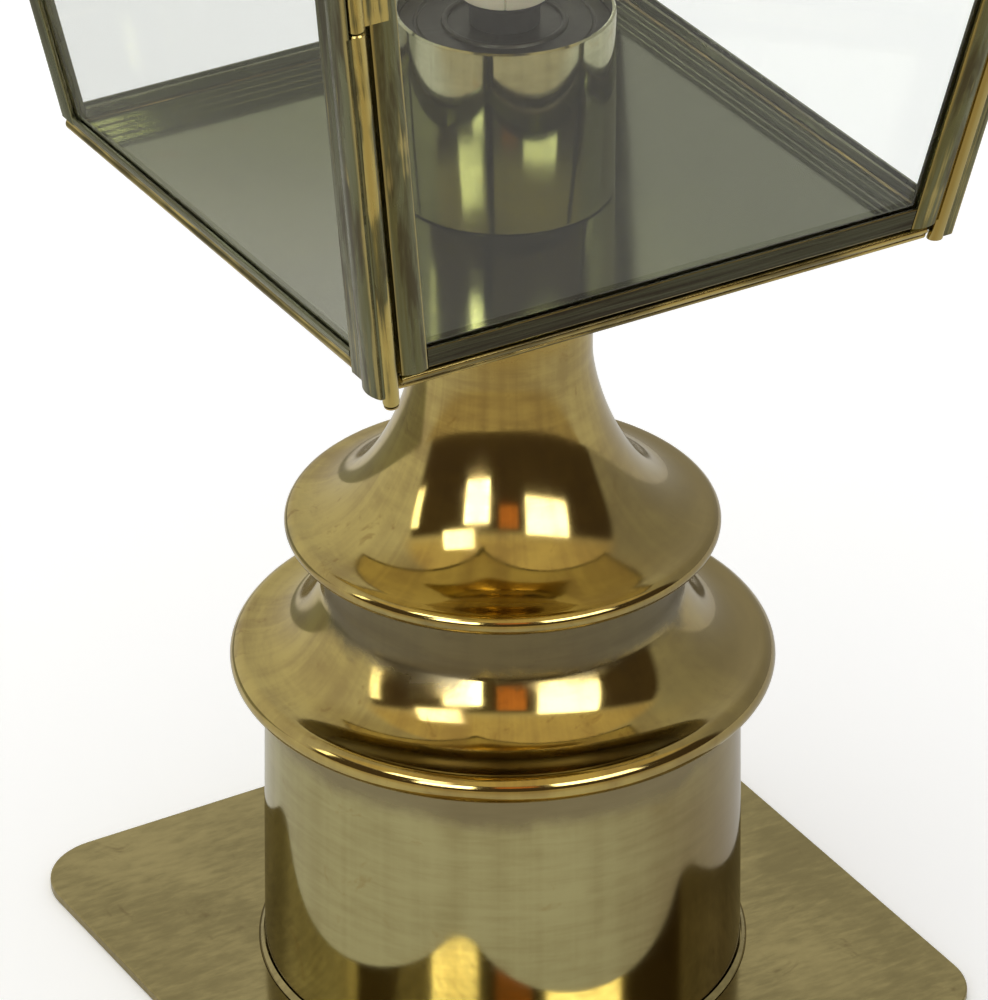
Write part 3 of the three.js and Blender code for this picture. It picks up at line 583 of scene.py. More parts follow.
def brass(name, clean, aged, stain, age=(0.35, 0.65), rough=(0.08, 0.2), grain="turned", cloud=22,
          wave=0.0004, side=None, painted_underside_light=None, patina_and_shade_bands=()):
    """Brass that is clean in places and aged in others, with fine scratches along its grain.

    `side` is painted shade, a darker tone toward +X for the side that gets less light. The underside tone is
    painted light, a brighter tone for surfaces that face down. Each band is (low, high, colour, strength on
    its right) for a ring of patina, or of painted shade under a rim, between two heights in millimetres.
    """
    s = Shader(name)
    here = s.object_place()
    if grain == "turned":
        along = s.stretched(s.turned_place(), (0.12, 0.12, 1))
    else:
        along = s.stretched(here, (0.3, 1, 1))
    clouds = s.noise(here, cloud, 5, 0.6, 0.4)
    streaks = s.noise(along, 420, 4, 0.6, 0.2)
    blotches = s.noise(here, cloud * 4.2, 4, 0.65, 0.8)
    mixed = s.share(clouds, streaks, 0.38)
    if grain == "turned":
        outward = s.add("VectorMath", {"operation": "NORMALIZE"},
                        Vector=s.stretched(here, (1, 1, 0))).outputs[0]
        mixed = s.share(mixed, s.noise(outward, 9, 4, 0.6), 0.28)
    colour = s.mix(s.ramp(mixed, age[0], age[1]), clean, aged)
    colour = s.mix(s.ramp(blotches, 0.6, 0.74, 0, 0.55), colour, stain)
    # painted shade: toward +X the brass is darkened, standing for the side that gets less light
    if side:
        uneven = s.plus(s.axis(here, 0), s.centred(clouds, 0.06))
        colour = s.mix(s.ramp(uneven, -0.03, 0.06), colour, s.mix(streaks, side, darker(side, 0.8)))
    roughness = s.ramp(mixed, 0.3, 0.7, rough[0], rough[1])
    # each band is a ring of patina, or painted shade where it lies under an overhanging rim
    for low_z, high_z, tone, right in patina_and_shade_bands:
        uneven = s.plus(s.axis(here, 2), s.centred(clouds, 0.02))
        band = s.times(s.ramp(uneven, (low_z - 4) * MM, (low_z + 3) * MM),
                       s.ramp(uneven, (high_z - 3) * MM, (high_z + 4) * MM, 1, 0))
        strength = s.ramp(s.axis(here, 0), 0.004, 0.024, BAND_STRENGTH, right)
        roughness = s.blend(s.times(band, 0.7), roughness, 0.42)
        colour = s.mix(s.times(band, strength), colour, s.mix(streaks, tone, darker(tone, 0.8)))
    # painted light: surfaces that face down get a brighter tone, as if lit from below
    if painted_underside_light:
        facing = s.axis(s.add("NewGeometry").outputs["Normal"], 2)
        colour = s.mix(s.ramp(facing, -0.7, -0.4, 1, 0), colour, painted_underside_light)
    scratches = s.noise(along, 2600, 2, 0.5)
    return metal(s, colour, roughness, s.bump(scratches, 0.000002, s.bump(s.noise(here, 11, 1, 0.4), wave)))


def bronze(name, grey, olive, brown, gold, gilt=0.62, rough=(0.2, 0.36), edges=0.9):
    """Dark patina in long streaks on folded strip, worn to gold along the edges."""
    s = Shader(name)
    place = s.strip_place()
    streaks = s.noise(s.stretched(place, (1, 0.04, 1)), 480, 4, 0.55, 0.3)
    patches = s.noise(s.stretched(place, (1, 0.12, 1)), 170, 4, 0.6, 0.5)
    drift = s.noise(s.object_place(), 30, 3, 0.6)
    colour = s.mix(s.ramp(streaks, 0.42, 0.58), grey, olive)
    colour = s.mix(s.ramp(patches, 0.46, 0.62), colour, brown)
    colour = s.mix(s.ramp(s.share(streaks, drift, 0.45), gilt - 0.06, gilt + 0.05), colour, gold)
    worn = s.ramp(s.plus(s.attribute("wear"), s.centred(patches, 1.6)), 1.15 - edges, 1.75 - edges)
    colour = s.mix(worn, colour, s.mix(drift, gold, darker(gold, 0.72)))
    roughness = s.blend(worn, s.ramp(patches, 0.35, 0.65, rough[0], rough[1]), 0.17)
    return metal(s, colour, roughness, s.bump(streaks, 0.00006, s.bump(drift, 0.00015)))


def coated(name, first, second, rough=(0.35, 0.5), scale=60, metallic=0.0, subsurface=0.0):
    """Plastic, ceramic, rubber or dull plated steel with slight clouding."""
    s = Shader(name)
    here = s.object_place()
    clouds = s.noise(here, scale, 4, 0.6)
    colour = s.mix(s.ramp(clouds, 0.35, 0.65), first, second)
    grains = s.bump(s.noise(here, scale * 22, 2, 0.5), 0.00003)
    shader = s.add("BsdfPrincipled", Base_Color=colour, Metallic=metallic, Normal=grains,
                   Roughness=s.ramp(clouds, 0.3, 0.7, rough[0], rough[1]), Subsurface_Weight=subsurface,
                   Subsurface_Scale=0.002)
    return s.finish(shader.outputs[0])


def glass(name, tint, wave=0.00002):
    """Clear glass that lets lamplight through to what it encloses."""
    s = Shader(name)
    here = s.object_place()
    film = s.noise(here, 35, 4, 0.6)
    colour = s.mix(film, tint, tuple(min(1, c * 1.02) for c in tint))
    clear = s.add("BsdfPrincipled", Base_Color=colour, Roughness=s.ramp(film, 0.45, 0.75, 0.0, 0.02),
                  Normal=s.bump(s.noise(here, 14, 1, 0.4), wave), Transmission_Weight=1.0, IOR=1.46)
    open_to_light = s.add("BsdfTransparent", Color=(0.93, 0.94, 0.93))
    mixed = s.add("MixShader")
    choices = (s.add("LightPath").outputs["Is Shadow Ray"], clear.outputs[0], open_to_light.outputs[0])
    for socket, choice in zip(mixed.inputs, choices):
        s.feed(socket, choice)
    return s.finish(mixed.outputs[0])


# side is painted shade toward +X; the band at 118-138 mm is painted shade under the upper flange's rim, the
# band at 205-240 mm is patina on the neck
flange_brass = brass("flange_brass", (0.57, 0.45, 0.155), (0.40, 0.295, 0.11), (0.30, 0.185, 0.06),
                     rough=(0.05, 0.15), age=(0.4, 0.6), cloud=34, side=(0.35, 0.27, 0.115),
                     patina_and_shade_bands=[(118, 138, (0.17, 0.15, 0.10), BAND_STRENGTH),
                            (205, 240, (0.52, 0.38, 0.12), 0.0)])
# side is painted shade toward +X; the band at 83-96 mm is painted shade under the lower flange's rim
drum_brass = brass("drum_brass", (0.49, 0.445, 0.22), (0.385, 0.335, 0.155), (0.36, 0.27, 0.10),
                   rough=(0.05, 0.12), age=(0.4, 0.62), cloud=20, side=(0.29, 0.215, 0.10),
                   patina_and_shade_bands=[(83, 96, (0.30, 0.25, 0.145), BAND_STRENGTH)])
plate_brass = brass("plate_brass", (0.48, 0.395, 0.175), (0.30, 0.245, 0.105), (0.18, 0.125, 0.05),
                    rough=(0.09, 0.2), grain="flat", cloud=16, wave=0.0002)
cage_bronze = bronze("cage_bronze", (0.18, 0.185, 0.105), (0.155, 0.15, 0.07), (0.095, 0.082, 0.045),
                     (0.46, 0.38, 0.15))
rail_bronze = bronze("rail_bronze", (0.25, 0.26, 0.16), (0.20, 0.205, 0.12), (0.15, 0.145, 0.085),
                     (0.36, 0.34, 0.19), gilt=0.75, edges=0.5)
# painted shade: a darker copy of the cage bronze, for the door's bottom rail whose face tips down out of the
# light
painted_shade_bronze = bronze("painted_shade_bronze", (0.085, 0.085, 0.055), (0.065, 0.062, 0.038), (0.045, 0.038, 0.025),
                     (0.42, 0.35, 0.16), gilt=0.8, edges=0.7)
knuckle_brass = bronze("knuckle_brass", (0.15, 0.145, 0.075), (0.20, 0.18, 0.07), (0.10, 0.08, 0.038),
                       (0.56, 0.45, 0.155), gilt=0.5)
bead_brass = bronze("bead_brass", (0.20, 0.17, 0.085), (0.27, 0.22, 0.085), (0.10, 0.075, 0.038),
                    (0.54, 0.43, 0.16), gilt=0.52, rough=(0.12, 0.24))
# side is painted shade toward +X, and surfaces that face down get painted light
pan_brass = brass("pan_brass", (0.275, 0.285, 0.155), (0.225, 0.235, 0.13), (0.25, 0.22, 0.11),
                  rough=(0.07, 0.16), grain="flat", cloud=12, wave=0.0005, side=(0.22, 0.23, 0.15),
                  painted_underside_light=(0.80, 0.66, 0.34))
cup_brass = brass("cup_brass", (0.55, 0.55, 0.35), (0.37, 0.37, 0.22), (0.46, 0.34, 0.12), rough=(0.05, 0.13),
                  cloud=24)
disc_bronze = brass("disc_bronze", (0.075, 0.075, 0.06), (0.05, 0.05, 0.042), (0.07, 0.055, 0.035),
                    rough=(0.3, 0.45))
roof_brass = brass("roof_brass", (0.54, 0.42, 0.165), (0.40, 0.31, 0.125), (0.26, 0.17, 0.065),
                   rough=(0.08, 0.2), grain="flat", cloud=20)
raw_brass = brass("raw_brass", (0.55, 0.42, 0.18), (0.36, 0.28, 0.13), (0.22, 0.15, 0.07), rough=(0.2, 0.36),
                  grain="flat", cloud=60)
dark_steel = coated("dark_steel", (0.30, 0.30, 0.29), (0.20, 0.20, 0.19), metallic=1.0, rough=(0.28, 0.45),
                    scale=90)
bulb_metal = coated("bulb_metal", (0.62, 0.60, 0.55), (0.48, 0.46, 0.42), metallic=1.0, rough=(0.2, 0.35),
                    scale=90)
ivory = coated("ivory", (0.80, 0.74, 0.56), (0.76, 0.69, 0.50), rough=(0.30, 0.42), scale=45, subsurface=0.15)
filament = coated("filament", (0.80, 0.62, 0.20), (0.74, 0.55, 0.16), rough=(0.4, 0.5), scale=200)
black_plastic = coated("black_plastic", (0.016, 0.016, 0.017), (0.03, 0.03, 0.03), rough=(0.35, 0.5))
ceramic = coated("ceramic", (0.78, 0.76, 0.70), (0.70, 0.68, 0.62), rough=(0.25, 0.4))
lead_rubber = coated("lead_rubber", (0.66, 0.64, 0.60), (0.58, 0.56, 0.52), rough=(0.5, 0.65))
pane_glass = glass("pane_glass", (0.97, 0.985, 0.975))
bulb_glass = glass("bulb_glass", (0.985, 0.985, 0.97), wave=0.000005)

# The materials of each slot. The first is also for the CAD nodes that stay.
SLOTS = {
    "plate_brass": [plate_brass], "polished_brass": [flange_brass, bead_brass, roof_brass],
    "grey_brass": [cup_brass, drum_brass], "raw_brass": [raw_brass],
    "frame_brass": [cage_bronze, rail_bronze, painted_shade_bronze, knuckle_brass, pan_brass, disc_bronze],
    "dark_steel": [dark_steel, bulb_metal], "clear_glass": [pane_glass], "bulb_glass": [bulb_glass],
    "ivory": [ivory, filament], "holder": [black_plastic], "terminal": [ceramic], "lead": [lead_rubber],
}
SLOT_OF = {material: slot for slot, materials in SLOTS.items() for material in materials}


# ---- Base and pedestal ----
SQUARE_CORNERS = [(1, 1), (-1, 1), (-1, -1), (1, -1)]


def rounded_square(half, radius):
    """A square's outline with round corners."""
    points = []
    for k, (x, y) in enumerate(SQUARE_CORNERS):
        points += arc(x * (half - radius), y * (half - radius), radius, 90 * k, 90 * k + 90, 14)
    return points


def base_plate():
    """A sawn plate with softened edges, rings of vertices from its hole to its rim."""
    outer = rounded_square(PLATE_HALF, PLATE_CORNER_R)
    hole = [Vector(p).normalized() * PLATE_HOLE_R for p in outer]
    spans = (0.0, 0.3, 0.6, 0.9, 1.0)
    rings = []
    for z, order in ((PLATE_T, spans), (0.0, spans[::-1])):
        for t in order:
            rings.append([(*(h.lerp(Vector(o), t)), z) for h, o in zip(hole, outer)])
    verts, faces = sweep(rings, ends=False)
    plate = piece("plate", verts, [face[::-1] for face in faces], plate_brass, node="base_plate")
    holes = []
    for x in (-STRAP_SCREW_X, STRAP_SCREW_X):
        holes.append(rod_tool(STRAP_HOLE_R, -2, PLATE_T + 2, at(x, 0)))
    drill(plate, *holes)
    return bevel(plate, 0.5, 3, 50)


def drum():
    skin = [(DRUM_FOOT_R, PLATE_T + GAP), (DRUM_TOP_R + 0.9, 50), (DRUM_TOP_R + 0.15, 88),
            (DRUM_TOP_R, DRUM_TOP_Z), (ROD_HOLE_R, DRUM_TOP_Z)]
    turned("drum_shell", sheet_profile(skin, SHEET), drum_brass, node="drum", sharp=25)
    low, inner = PLATE_T + GAP, DRUM_FOOT_R + GAP
    ring = [(inner, low), (inner + 1.5, low), (inner + 1.2, low + 0.6), (inner + 0.7, low + 1.15),
            (inner, low + 1.6)]
    turned("drum_solder_ring", ring, plate_brass, node="drum_foot_ring", slot="polished_brass", edge=0.1)


def flanges():
    low = DRUM_TOP_Z + GAP
    roll = arc(LOWER_RIM_R - LOWER_ROLL_R, low + LOWER_ROLL_R, LOWER_ROLL_R, -90, 80, 18)
    wall_r = LOWER_WALL_R
    flare = bezier(roll[-1], (61.8, 101.5), (57, 106.8), (wall_r + 1, 118), 34)
    wall = bezier((wall_r + 1, 118), (wall_r + 0.52, 119), (wall_r, 121), (wall_r, 124), 8)
    top = [(wall_r, LOWER_TOP_Z), (ROD_HOLE_R, LOWER_TOP_Z)]
    skin = [(58, low)] + roll + flare[1:] + wall[1:] + top
    turned("flange_lower", sheet_profile(skin, SHEET), flange_brass, node="lower_flange")
    low = LOWER_TOP_Z + GAP
    roll = arc(UPPER_RIM_R - UPPER_ROLL_R, low + UPPER_ROLL_R, UPPER_ROLL_R, -90, 80, 14)
    flare = bezier(roll[-1], (36, 144.2), (24.3, 182.7), (NECK_R, 195), 40)
    collar = [(NECK_R, 208), (NECK_R + 0.2, 220), (NECK_TOP_R - 0.8, 232), (NECK_TOP_R, 239),
              (NECK_TOP_R, NECK_TOP_Z)]
    skin = [(42, low)] + roll + flare[1:] + collar + [(ROD_HOLE_R, NECK_TOP_Z)]
    turned("flange_upper", sheet_profile(skin, 1), flange_brass, node="upper_flange")


# ---- Fixings and wiring inside the pedestal ----
def at(x, y, z=0.0):
    return Matrix.Translation((x, y, z))


def slotted_head(name, x, y, shank, low, seat, head, material, **options):
    """A domed screw with a slot across its head."""
    angles = [k * math.pi / 16 for k in range(8)]
    dome = [(head * math.cos(a), seat + 0.5 + 1.8 * math.sin(a)) for a in angles]
    shaft = [(0, low), (shank - 0.3, low), (shank, low + 0.4), (shank, seat)]
    profile = shaft + [(head, seat)] + dome + [(0, seat + 2.3)]
    slot_half = 0.4
    corners = [(-6, -slot_half), (6, -slot_half), (6, slot_half), (-6, slot_half)]
    cut_low, cut_high = seat + 1.4, seat + 5
    verts, faces = sweep([[(px, py, z) for px, py in corners] for z in (cut_low, cut_high)])
    turn = Matrix.Rotation(0.5, 4, "Z")
    turned(name, profile, material, 40, 0.1, at(x, y), [(placed(verts, at(x, y) @ turn), faces)], **options)


def nut(name, low, height, **options):
    prism(name, circle(0, 0, NUT_FLATS / math.sqrt(3), 6), low, low + height, dark_steel, edge=0.5,
          holes=[rod_tool(ROD_R + GAP, low - 1, low + height + 1)], **options)


def washer(name, radius, low):
    turned(name, [(ROD_R + GAP, low), (radius, low), (radius, low + 1), (ROD_R + GAP, low + 1)], dark_steel,
           64, 0.2, node=name.replace("_disc", ""))


def threads(low, high):
    pitch = 1.0
    turns = int((high - low) / pitch)
    return [(ROD_R - (0.45 if k % 2 else 0), low + k * pitch / 2) for k in range(2 * turns + 1)]


def fixings():
    rise, top = STRAP_TOP_Z - 3, STRAP_TOP_Z
    foot = PLATE_T + GAP
    outline = [(-58, foot), (-45, foot), (-30, rise), (30, rise), (45, foot), (58, foot), (58, foot + 3),
               (44, foot + 3), (29, top), (-29, top), (-44, foot + 3), (-58, foot + 3)]
    outline, _ = round_corners(outline, {1: 3, 2: 3, 3: 3, 4: 3, 7: 3, 8: 3, 9: 3, 10: 3})
    upright = Matrix.Rotation(math.pi / 2, 4, "X")
    holes = [rod_tool(ROD_HOLE_R, rise - 2, top + 2)]
    holes += [rod_tool(EARTH_HOLE_R, rise - 2, top + 2, at(*EARTH_AT))]
    holes += [rod_tool(STRAP_HOLE_R, 0, 12, at(x, 0)) for x in (-STRAP_SCREW_X, STRAP_SCREW_X)]
    prism("strap_bar", outline, -12, 12, raw_brass, upright, 0.4, holes, node="bridge_strap")
    for side, x in (("left", -STRAP_SCREW_X), ("right", STRAP_SCREW_X)):
        slotted_head(f"strap_screw_{side}_turned", x, 0, 2, 0.6, foot + 3 + GAP, 3.8, dark_steel,
                     node=f"strap_screw_{side}")
    rod = [(3.6, 15)] + threads(15.2, 30) + threads(240, 299.8) + [(3.6, 300)]
    turned("rod_threaded", rod, dark_steel, 48, 0, node="threaded_rod", sharp=80)
    washer("bottom_washer_disc", 10, rise - GAP - 1)
    washer("pan_washer_disc", 11, PAN_FLOOR_Z + GAP)
    nut("bottom_nut_hex", rise - 2 * GAP - 6, 5, node="bottom_nut")
    nut("pan_nut_hex", PAN_FLOOR_Z + 2 * GAP + 1, 5, node="pan_nut")


def wiring():
    low = STRAP_TOP_Z + GAP
    tray = [(-12, 6.5), (12, 6.5), (12, 33.5), (-12, 33.5)]
    prism("bracket_plate", tray, low, low + 1.5, raw_brass,
          holes=[rod_tool(EARTH_HOLE_R, low - 1, low + 3, at(*EARTH_AT))], node="terminal_bracket")
    slotted_head("earth_screw_turned", *EARTH_AT, 1.8, STRAP_TOP_Z - 6, low + 1.5 + GAP, 3.4, raw_brass,
                 node="earth_screw")
    block = low + 1.5 + GAP
    lying = Matrix.Rotation(math.pi / 2, 4, "X")
    holes = [rod_tool(1.9, -50, 0, at(x, 0, block + 4.5) @ lying, 24) for x in TERMINAL_X]
    holes += [rod_tool(1.7, block + 6, block + 20, at(x, 26), 24) for x in TERMINAL_X]
    body = [(-15, 18.5), (15, 18.5), (15, 33.5), (-15, 33.5)]
    prism("terminal_body", body, block, block + 13, ceramic, edge=0.7, holes=holes, node="terminal_block")
    for k, x in enumerate(TERMINAL_X):
        slotted_head(f"terminal_screw_{k + 1}", x, 26, 1.2, block + 7, block + 8, 1.6, raw_brass)
    path = [(15.9, 26, 34), (20.5, 25.5, 33), (23.5, 21.5, 27), (21, 16, 17), (13, 9, 8.5), (4.5, 3, 6),
            (0.4, 0.2, 10), (0, 0, 16), (0, 0, 60), (0, 0, 180), (0, 0, 296)]
    tube("lead_sheath", smooth_path(path, 8), 2.2, 20, lead_rubber, node="lamp_lead")


# ---- Fixed cage ----
def channel(start, width):
    """Section of a folded strip along a face with the glass groove at its far edge."""
    end = start + width
    bottom = end - GROOVE
    return [(start, 0), (end, 0), (end, WALL), (bottom, WALL), (bottom, DEPTH - WALL), (end, DEPTH - WALL),
            (end, DEPTH), (start, DEPTH)]


def domed(start, end, rise):
    """Points (along, depth) of a strip's rounded outside, with wear along its two edges."""
    steps = 10
    points = [(start + (end - start) * t, -rise * math.sin(math.pi * t) ** 0.8) for t in shares(steps)]
    return points, [1.0, 0.25] + [0.0] * (steps - 3) + [0.25, 1.0]


def grooved_rail(low, high, radii, open_up=True):
    """Rounded section (depth, z) of a rail with its glass groove at the top or at the bottom."""
    edge, floor = (high, high - RAIL_GROOVE) if open_up else (low, low + RAIL_GROOVE)
    back = low if open_up else high
    corners = [(0, back), (DEPTH, back), (DEPTH, edge), (DEPTH - WALL, edge), (DEPTH - WALL, floor),
               (WALL, floor), (WALL, edge), (0, edge)]
    return round_corners(corners, radii)


def bead_bar(name, outline, from_x, to_x, face, **options):
    """A rounded bar along a face's lower edge: outline points are (depth, z) about its middle."""
    length = to_x - from_x
    stations = [(0.0, 0.82), (0.35, 1.0)] + [(length * k / 10, 1.0) for k in range(1, 10)]
    stations += [(length - 0.35, 1.0), (length, 0.82)]

    def spot(station, depth, z):
        run, size = station
        return (from_x + run, depth * size + BEAD_R - CAGE_HALF, z * size + RIM_BEAD_Z), run

    return strip(name, (outline, [0.3] * len(outline)), stations, spot, face, bead_brass, **options)


def fixed_cage():
    half, inner = PAN_HALF + 0.7, PAN_HALF - WALL
    low = PAN_FLOOR_Z - SHEET
    well, shelf = PAN_WELL_HALF, PAN_SHELF_Z
    profile = [(5.0, low), (well + SHEET, low), (well + SHEET, shelf - SHEET), (half, shelf - SHEET),
               (half, PAN_LIP_Z), (inner, PAN_LIP_Z), (inner, shelf), (well, shelf), (well, PAN_FLOOR_Z),
               (5.0, PAN_FLOOR_Z)]
    verts, faces, _ = lathe([(r * math.sqrt(2), z) for r, z in profile], 4)
    tray = piece("pan_tray", placed(verts, Matrix.Rotation(math.pi / 4, 4, "Z")), faces, pan_brass,
                 node="pan")
    bevel(tray, 0.3, 2, 30)

    full = circle(0, 0, BEAD_R, 20)
    upper = [(d - 0.35, z + 0.8) for d, z in circle(0, 0, 1.3, 24)]
    lower = [(d + 0.35, z - 1.25) for d, z in circle(0, 0, 0.85, 16)]
    bead_bar("sill_bead_upper", upper, 5.8 - CAGE_HALF, CAGE_HALF - 7.9, 0, node="front_sill_bead")
    bead_bar("sill_bead_lower", lower, 5.8 - CAGE_HALF, CAGE_HALF - 7.9, 0, node="front_sill_bead")
    bead_bar("rim_bar_right", full, POST_LEG + GAP - CAGE_HALF, CAGE_HALF, 1, node="rim_bead_right")
    back_half = CAGE_HALF - 2 * BEAD_R - GAP
    bead_bar("rim_bar_back", full, -back_half, back_half, 2, node="rim_bead_back")
    bead_bar("rim_bar_left", full, -CAGE_HALF, CAGE_HALF - HINGE_POST_W - GAP, 3, node="rim_bead_left")

    back = [(0, 0), (POST_LEG, 0), (POST_LEG, WALL), (POST_LEG - GROOVE, WALL),
            (POST_LEG - GROOVE, DEPTH - WALL), (POST_LEG, DEPTH - WALL), (POST_LEG, DEPTH), (DEPTH, DEPTH),
            (DEPTH, POST_LEG), (DEPTH - WALL, POST_LEG), (DEPTH - WALL, POST_LEG - GROOVE),
            (WALL, POST_LEG - GROOVE), (WALL, POST_LEG), (0, POST_LEG)]
    section = round_corners(back, {0: 1.2, 1: 0.35, 6: 0.35, 8: 0.35, 13: 0.35})
    for name, face in (("right", 2), ("left", 3)):
        corner_strip(f"post_back_{name}_strip", section, RAIL_LOW_Z, CAGE_TOP_Z, face, rail_bronze,
                     node=f"post_back_{name}")

    w, bottom = HINGE_POST_W, HINGE_POST_W - GROOVE
    hinge = [(0, 2.8), (WALL, 2.8), (WALL, 5.2), (DEPTH, 5.2), (DEPTH, w), (DEPTH - WALL, w),
             (DEPTH - WALL, bottom), (WALL, bottom), (WALL, w), (0, w)]
    corner_strip("post_hinge_strip", round_corners(hinge, {0: 0.3, 3: 0.5, 4: 0.35, 9: 0.4}), PAN_Z,
                 CAGE_TOP_Z, 0, cage_bronze, node="post_hinge", low_cut=-0.5)
    corner_strip("post_latch_strip", round_corners(channel(0, POST_LEG), {0: 1.3, 1: 0.4, 6: 0.35, 7: 0.5}),
                 PAN_Z, CAGE_TOP_Z, 1, cage_bronze, node="post_latch")
    bead = circle(STOP_BEAD_DEPTH, STOP_BEAD_IN, STOP_BEAD_R, 28)
    corner_strip("stop_bead", (bead, [0.8] * 28), PAN_Z - 0.6, DOOR_HIGH_Z + 0.4, 1, bead_brass,
                 node="post_latch")

    low_rail = grooved_rail(RAIL_LOW_Z, RAIL_LOW_Z + RAIL_LOW_H, {0: 0.8, 1: 0.3, 2: 0.2, 7: 0.3})
    top_rail = grooved_rail(CAGE_TOP_Z - RAIL_TOP_H, CAGE_TOP_Z, {0: 0.4, 1: 0.4, 7: 0.3}, False)
    post_in, hinge_in = POST_LEG + GAP, HINGE_POST_W + GAP
    for name, face, right_in in (("right", 1, post_in), ("back", 2, post_in), ("left", 3, hinge_in)):
        for level, section, finish in (("bottom", low_rail, rail_bronze), ("top", top_rail, cage_bronze)):
            face_rail(f"rail_{level}_{name}_strip", section, post_in, right_in, face, finish,
                      node=f"rail_{level}_{name}")
    header = [(0, DOOR_HIGH_Z + 1), (DEPTH, DOOR_HIGH_Z + 1), (DEPTH, CAGE_TOP_Z), (0, CAGE_TOP_Z)]
    face_rail("rail_top_front_strip", round_corners(header, 0.6), DOOR_LEFT_IN, DOOR_RIGHT_IN, 0, cage_bronze,
              node="rail_top_front")


# ---- Door, hinge and latch ----
HINGE_STRETCH = math.sqrt(1 + 2 * LEAN * LEAN)
HINGE_PLACE = (Matrix.Translation((HINGE_IN - CAGE_HALF, -CAGE_HALF, PAN_Z))
               @ Vector((0, 0, 1)).rotation_difference(Vector((-LEAN, -LEAN, 1))).to_matrix().to_4x4())


def hinge_turned(name, profile, material, **options):
    """Turns a profile about the hinge axis. Heights in the profile are level heights at the axis."""
    along = [(r, (z - PAN_Z) * HINGE_STRETCH) for r, z in profile]
    return turned(name, along, material, 40, 0, HINGE_PLACE, **options)


def barrel(low, high):
    chamfer = 0.35
    return [(KNUCKLE_BORE_R, low), (KNUCKLE_R - chamfer, low), (KNUCKLE_R, low + chamfer),
            (KNUCKLE_R, high - chamfer), (KNUCKLE_R - chamfer, high), (KNUCKLE_BORE_R, high)]


def hinge():
    hinge_turned("knuckle_fixed", barrel(KNUCKLE_LOW_Z, KNUCKLE_SPLIT_Z), knuckle_brass, node="hinge_leaf")
    hinge_turned("knuckle_door", barrel(KNUCKLE_SPLIT_Z + 0.5, KNUCKLE_HIGH_Z), knuckle_brass, body="door",
                 node="door_knuckle")
    low, high = KNUCKLE_LOW_Z - GAP, KNUCKLE_HIGH_Z + GAP
    pin = [(0, low - 1), (1.5, low - 0.9), (2.0, low - 0.5), (2.0, low), (0.95, low), (0.95, high),
           (2.0, high), (2.0, high + 0.5), (1.5, high + 0.9), (0, high + 1)]
    hinge_turned("hinge_pin_turned", pin, raw_brass, node="hinge_pin")

    outer, inner = -GAP - LEAF_T, -GAP
    outside, wear = domed(-0.9, LEAF_WIDTH, 1.3)
    section = [(depth + outer, along) for along, depth in outside] + [(inner, LEAF_WIDTH), (inner, -0.9)]
    corner_strip("leaf_fixed", (section, wear + [0.0] * 2), PAN_Z, CAGE_TOP_Z - 1, 0, cage_bronze,
                 node="hinge_leaf")
    web = [(outer, -0.9), (1.2, -0.9), (1.2, 0.7), (outer, 0.7)]
    corner_strip("leaf_fixed_web", (web, [0.0] * 4), PAN_Z, KNUCKLE_SPLIT_Z - 1.5, 0, cage_bronze,
                 node="hinge_leaf")
    leaf = [(HINGE_IN, outer), (DOOR_LEFT_IN + 5, outer), (DOOR_LEFT_IN + 5, inner), (HINGE_IN, inner)]
    corner_strip("leaf_door", round_corners(leaf, 0.3), KNUCKLE_SPLIT_Z + 1.5, KNUCKLE_HIGH_Z - 1.5, 0,
                 knuckle_brass, body="door", node="door_knuckle")


def door():
    outside, worn = domed(DOOR_LEFT_IN, DOOR_LEFT_IN + STILE_W, 1.1)
    wear = worn + [0.0] * 6
    section = outside + channel(DOOR_LEFT_IN, STILE_W)[2:]
    corner_strip("door_stile_hinge_strip", (section, wear), DOOR_LOW_Z, DOOR_HIGH_Z, 0, cage_bronze,
                 body="door", node="door_stile_hinge")
    outside, _ = domed(DOOR_RIGHT_IN, DOOR_RIGHT_IN + STILE_W, 1.1)
    section = [(depth, along) for along, depth in outside + channel(DOOR_RIGHT_IN, STILE_W)[2:]]
    stile = corner_strip("door_stile_latch_strip", (section, wear), DOOR_LOW_Z, DOOR_HIGH_Z, 1, cage_bronze,
                         body="door", node="door_stile_latch")
    drill(stile, rod_tool(SPINDLE_R + GAP, -10, 10, LATCH_PLACE))
    left, right = DOOR_LEFT_IN + STILE_W + GAP, DOOR_RIGHT_IN + STILE_W + GAP
    low_rail = grooved_rail(DOOR_LOW_Z, DOOR_LOW_Z + DOOR_RAIL_H, {0: 0.7, 1: 0.5, 2: 0.25, 7: 0.35})
    top_rail = grooved_rail(DOOR_HIGH_Z - DOOR_RAIL_H, DOOR_HIGH_Z, {0: 0.7, 1: 0.5, 7: 0.35}, False)
    # the door's bottom rail takes the darker bronze, a painted shade
    for level, section, finish in (("bottom", low_rail, painted_shade_bronze), ("top", top_rail, cage_bronze)):
        face_rail(f"door_rail_{level}_strip", section, left, right, 0, finish, body="door",
                  node=f"door_rail_{level}")


# In the latch's place +Z points into the cage and -Y up the door.
LATCH_HALF = half_side(LATCH_Z)
LATCH_PLACE = (Matrix.Translation((LATCH_HALF - LATCH_IN, -LATCH_HALF, LATCH_Z))
               @ Matrix.Rotation(math.atan(LEAN) - math.pi / 2, 4, "X"))


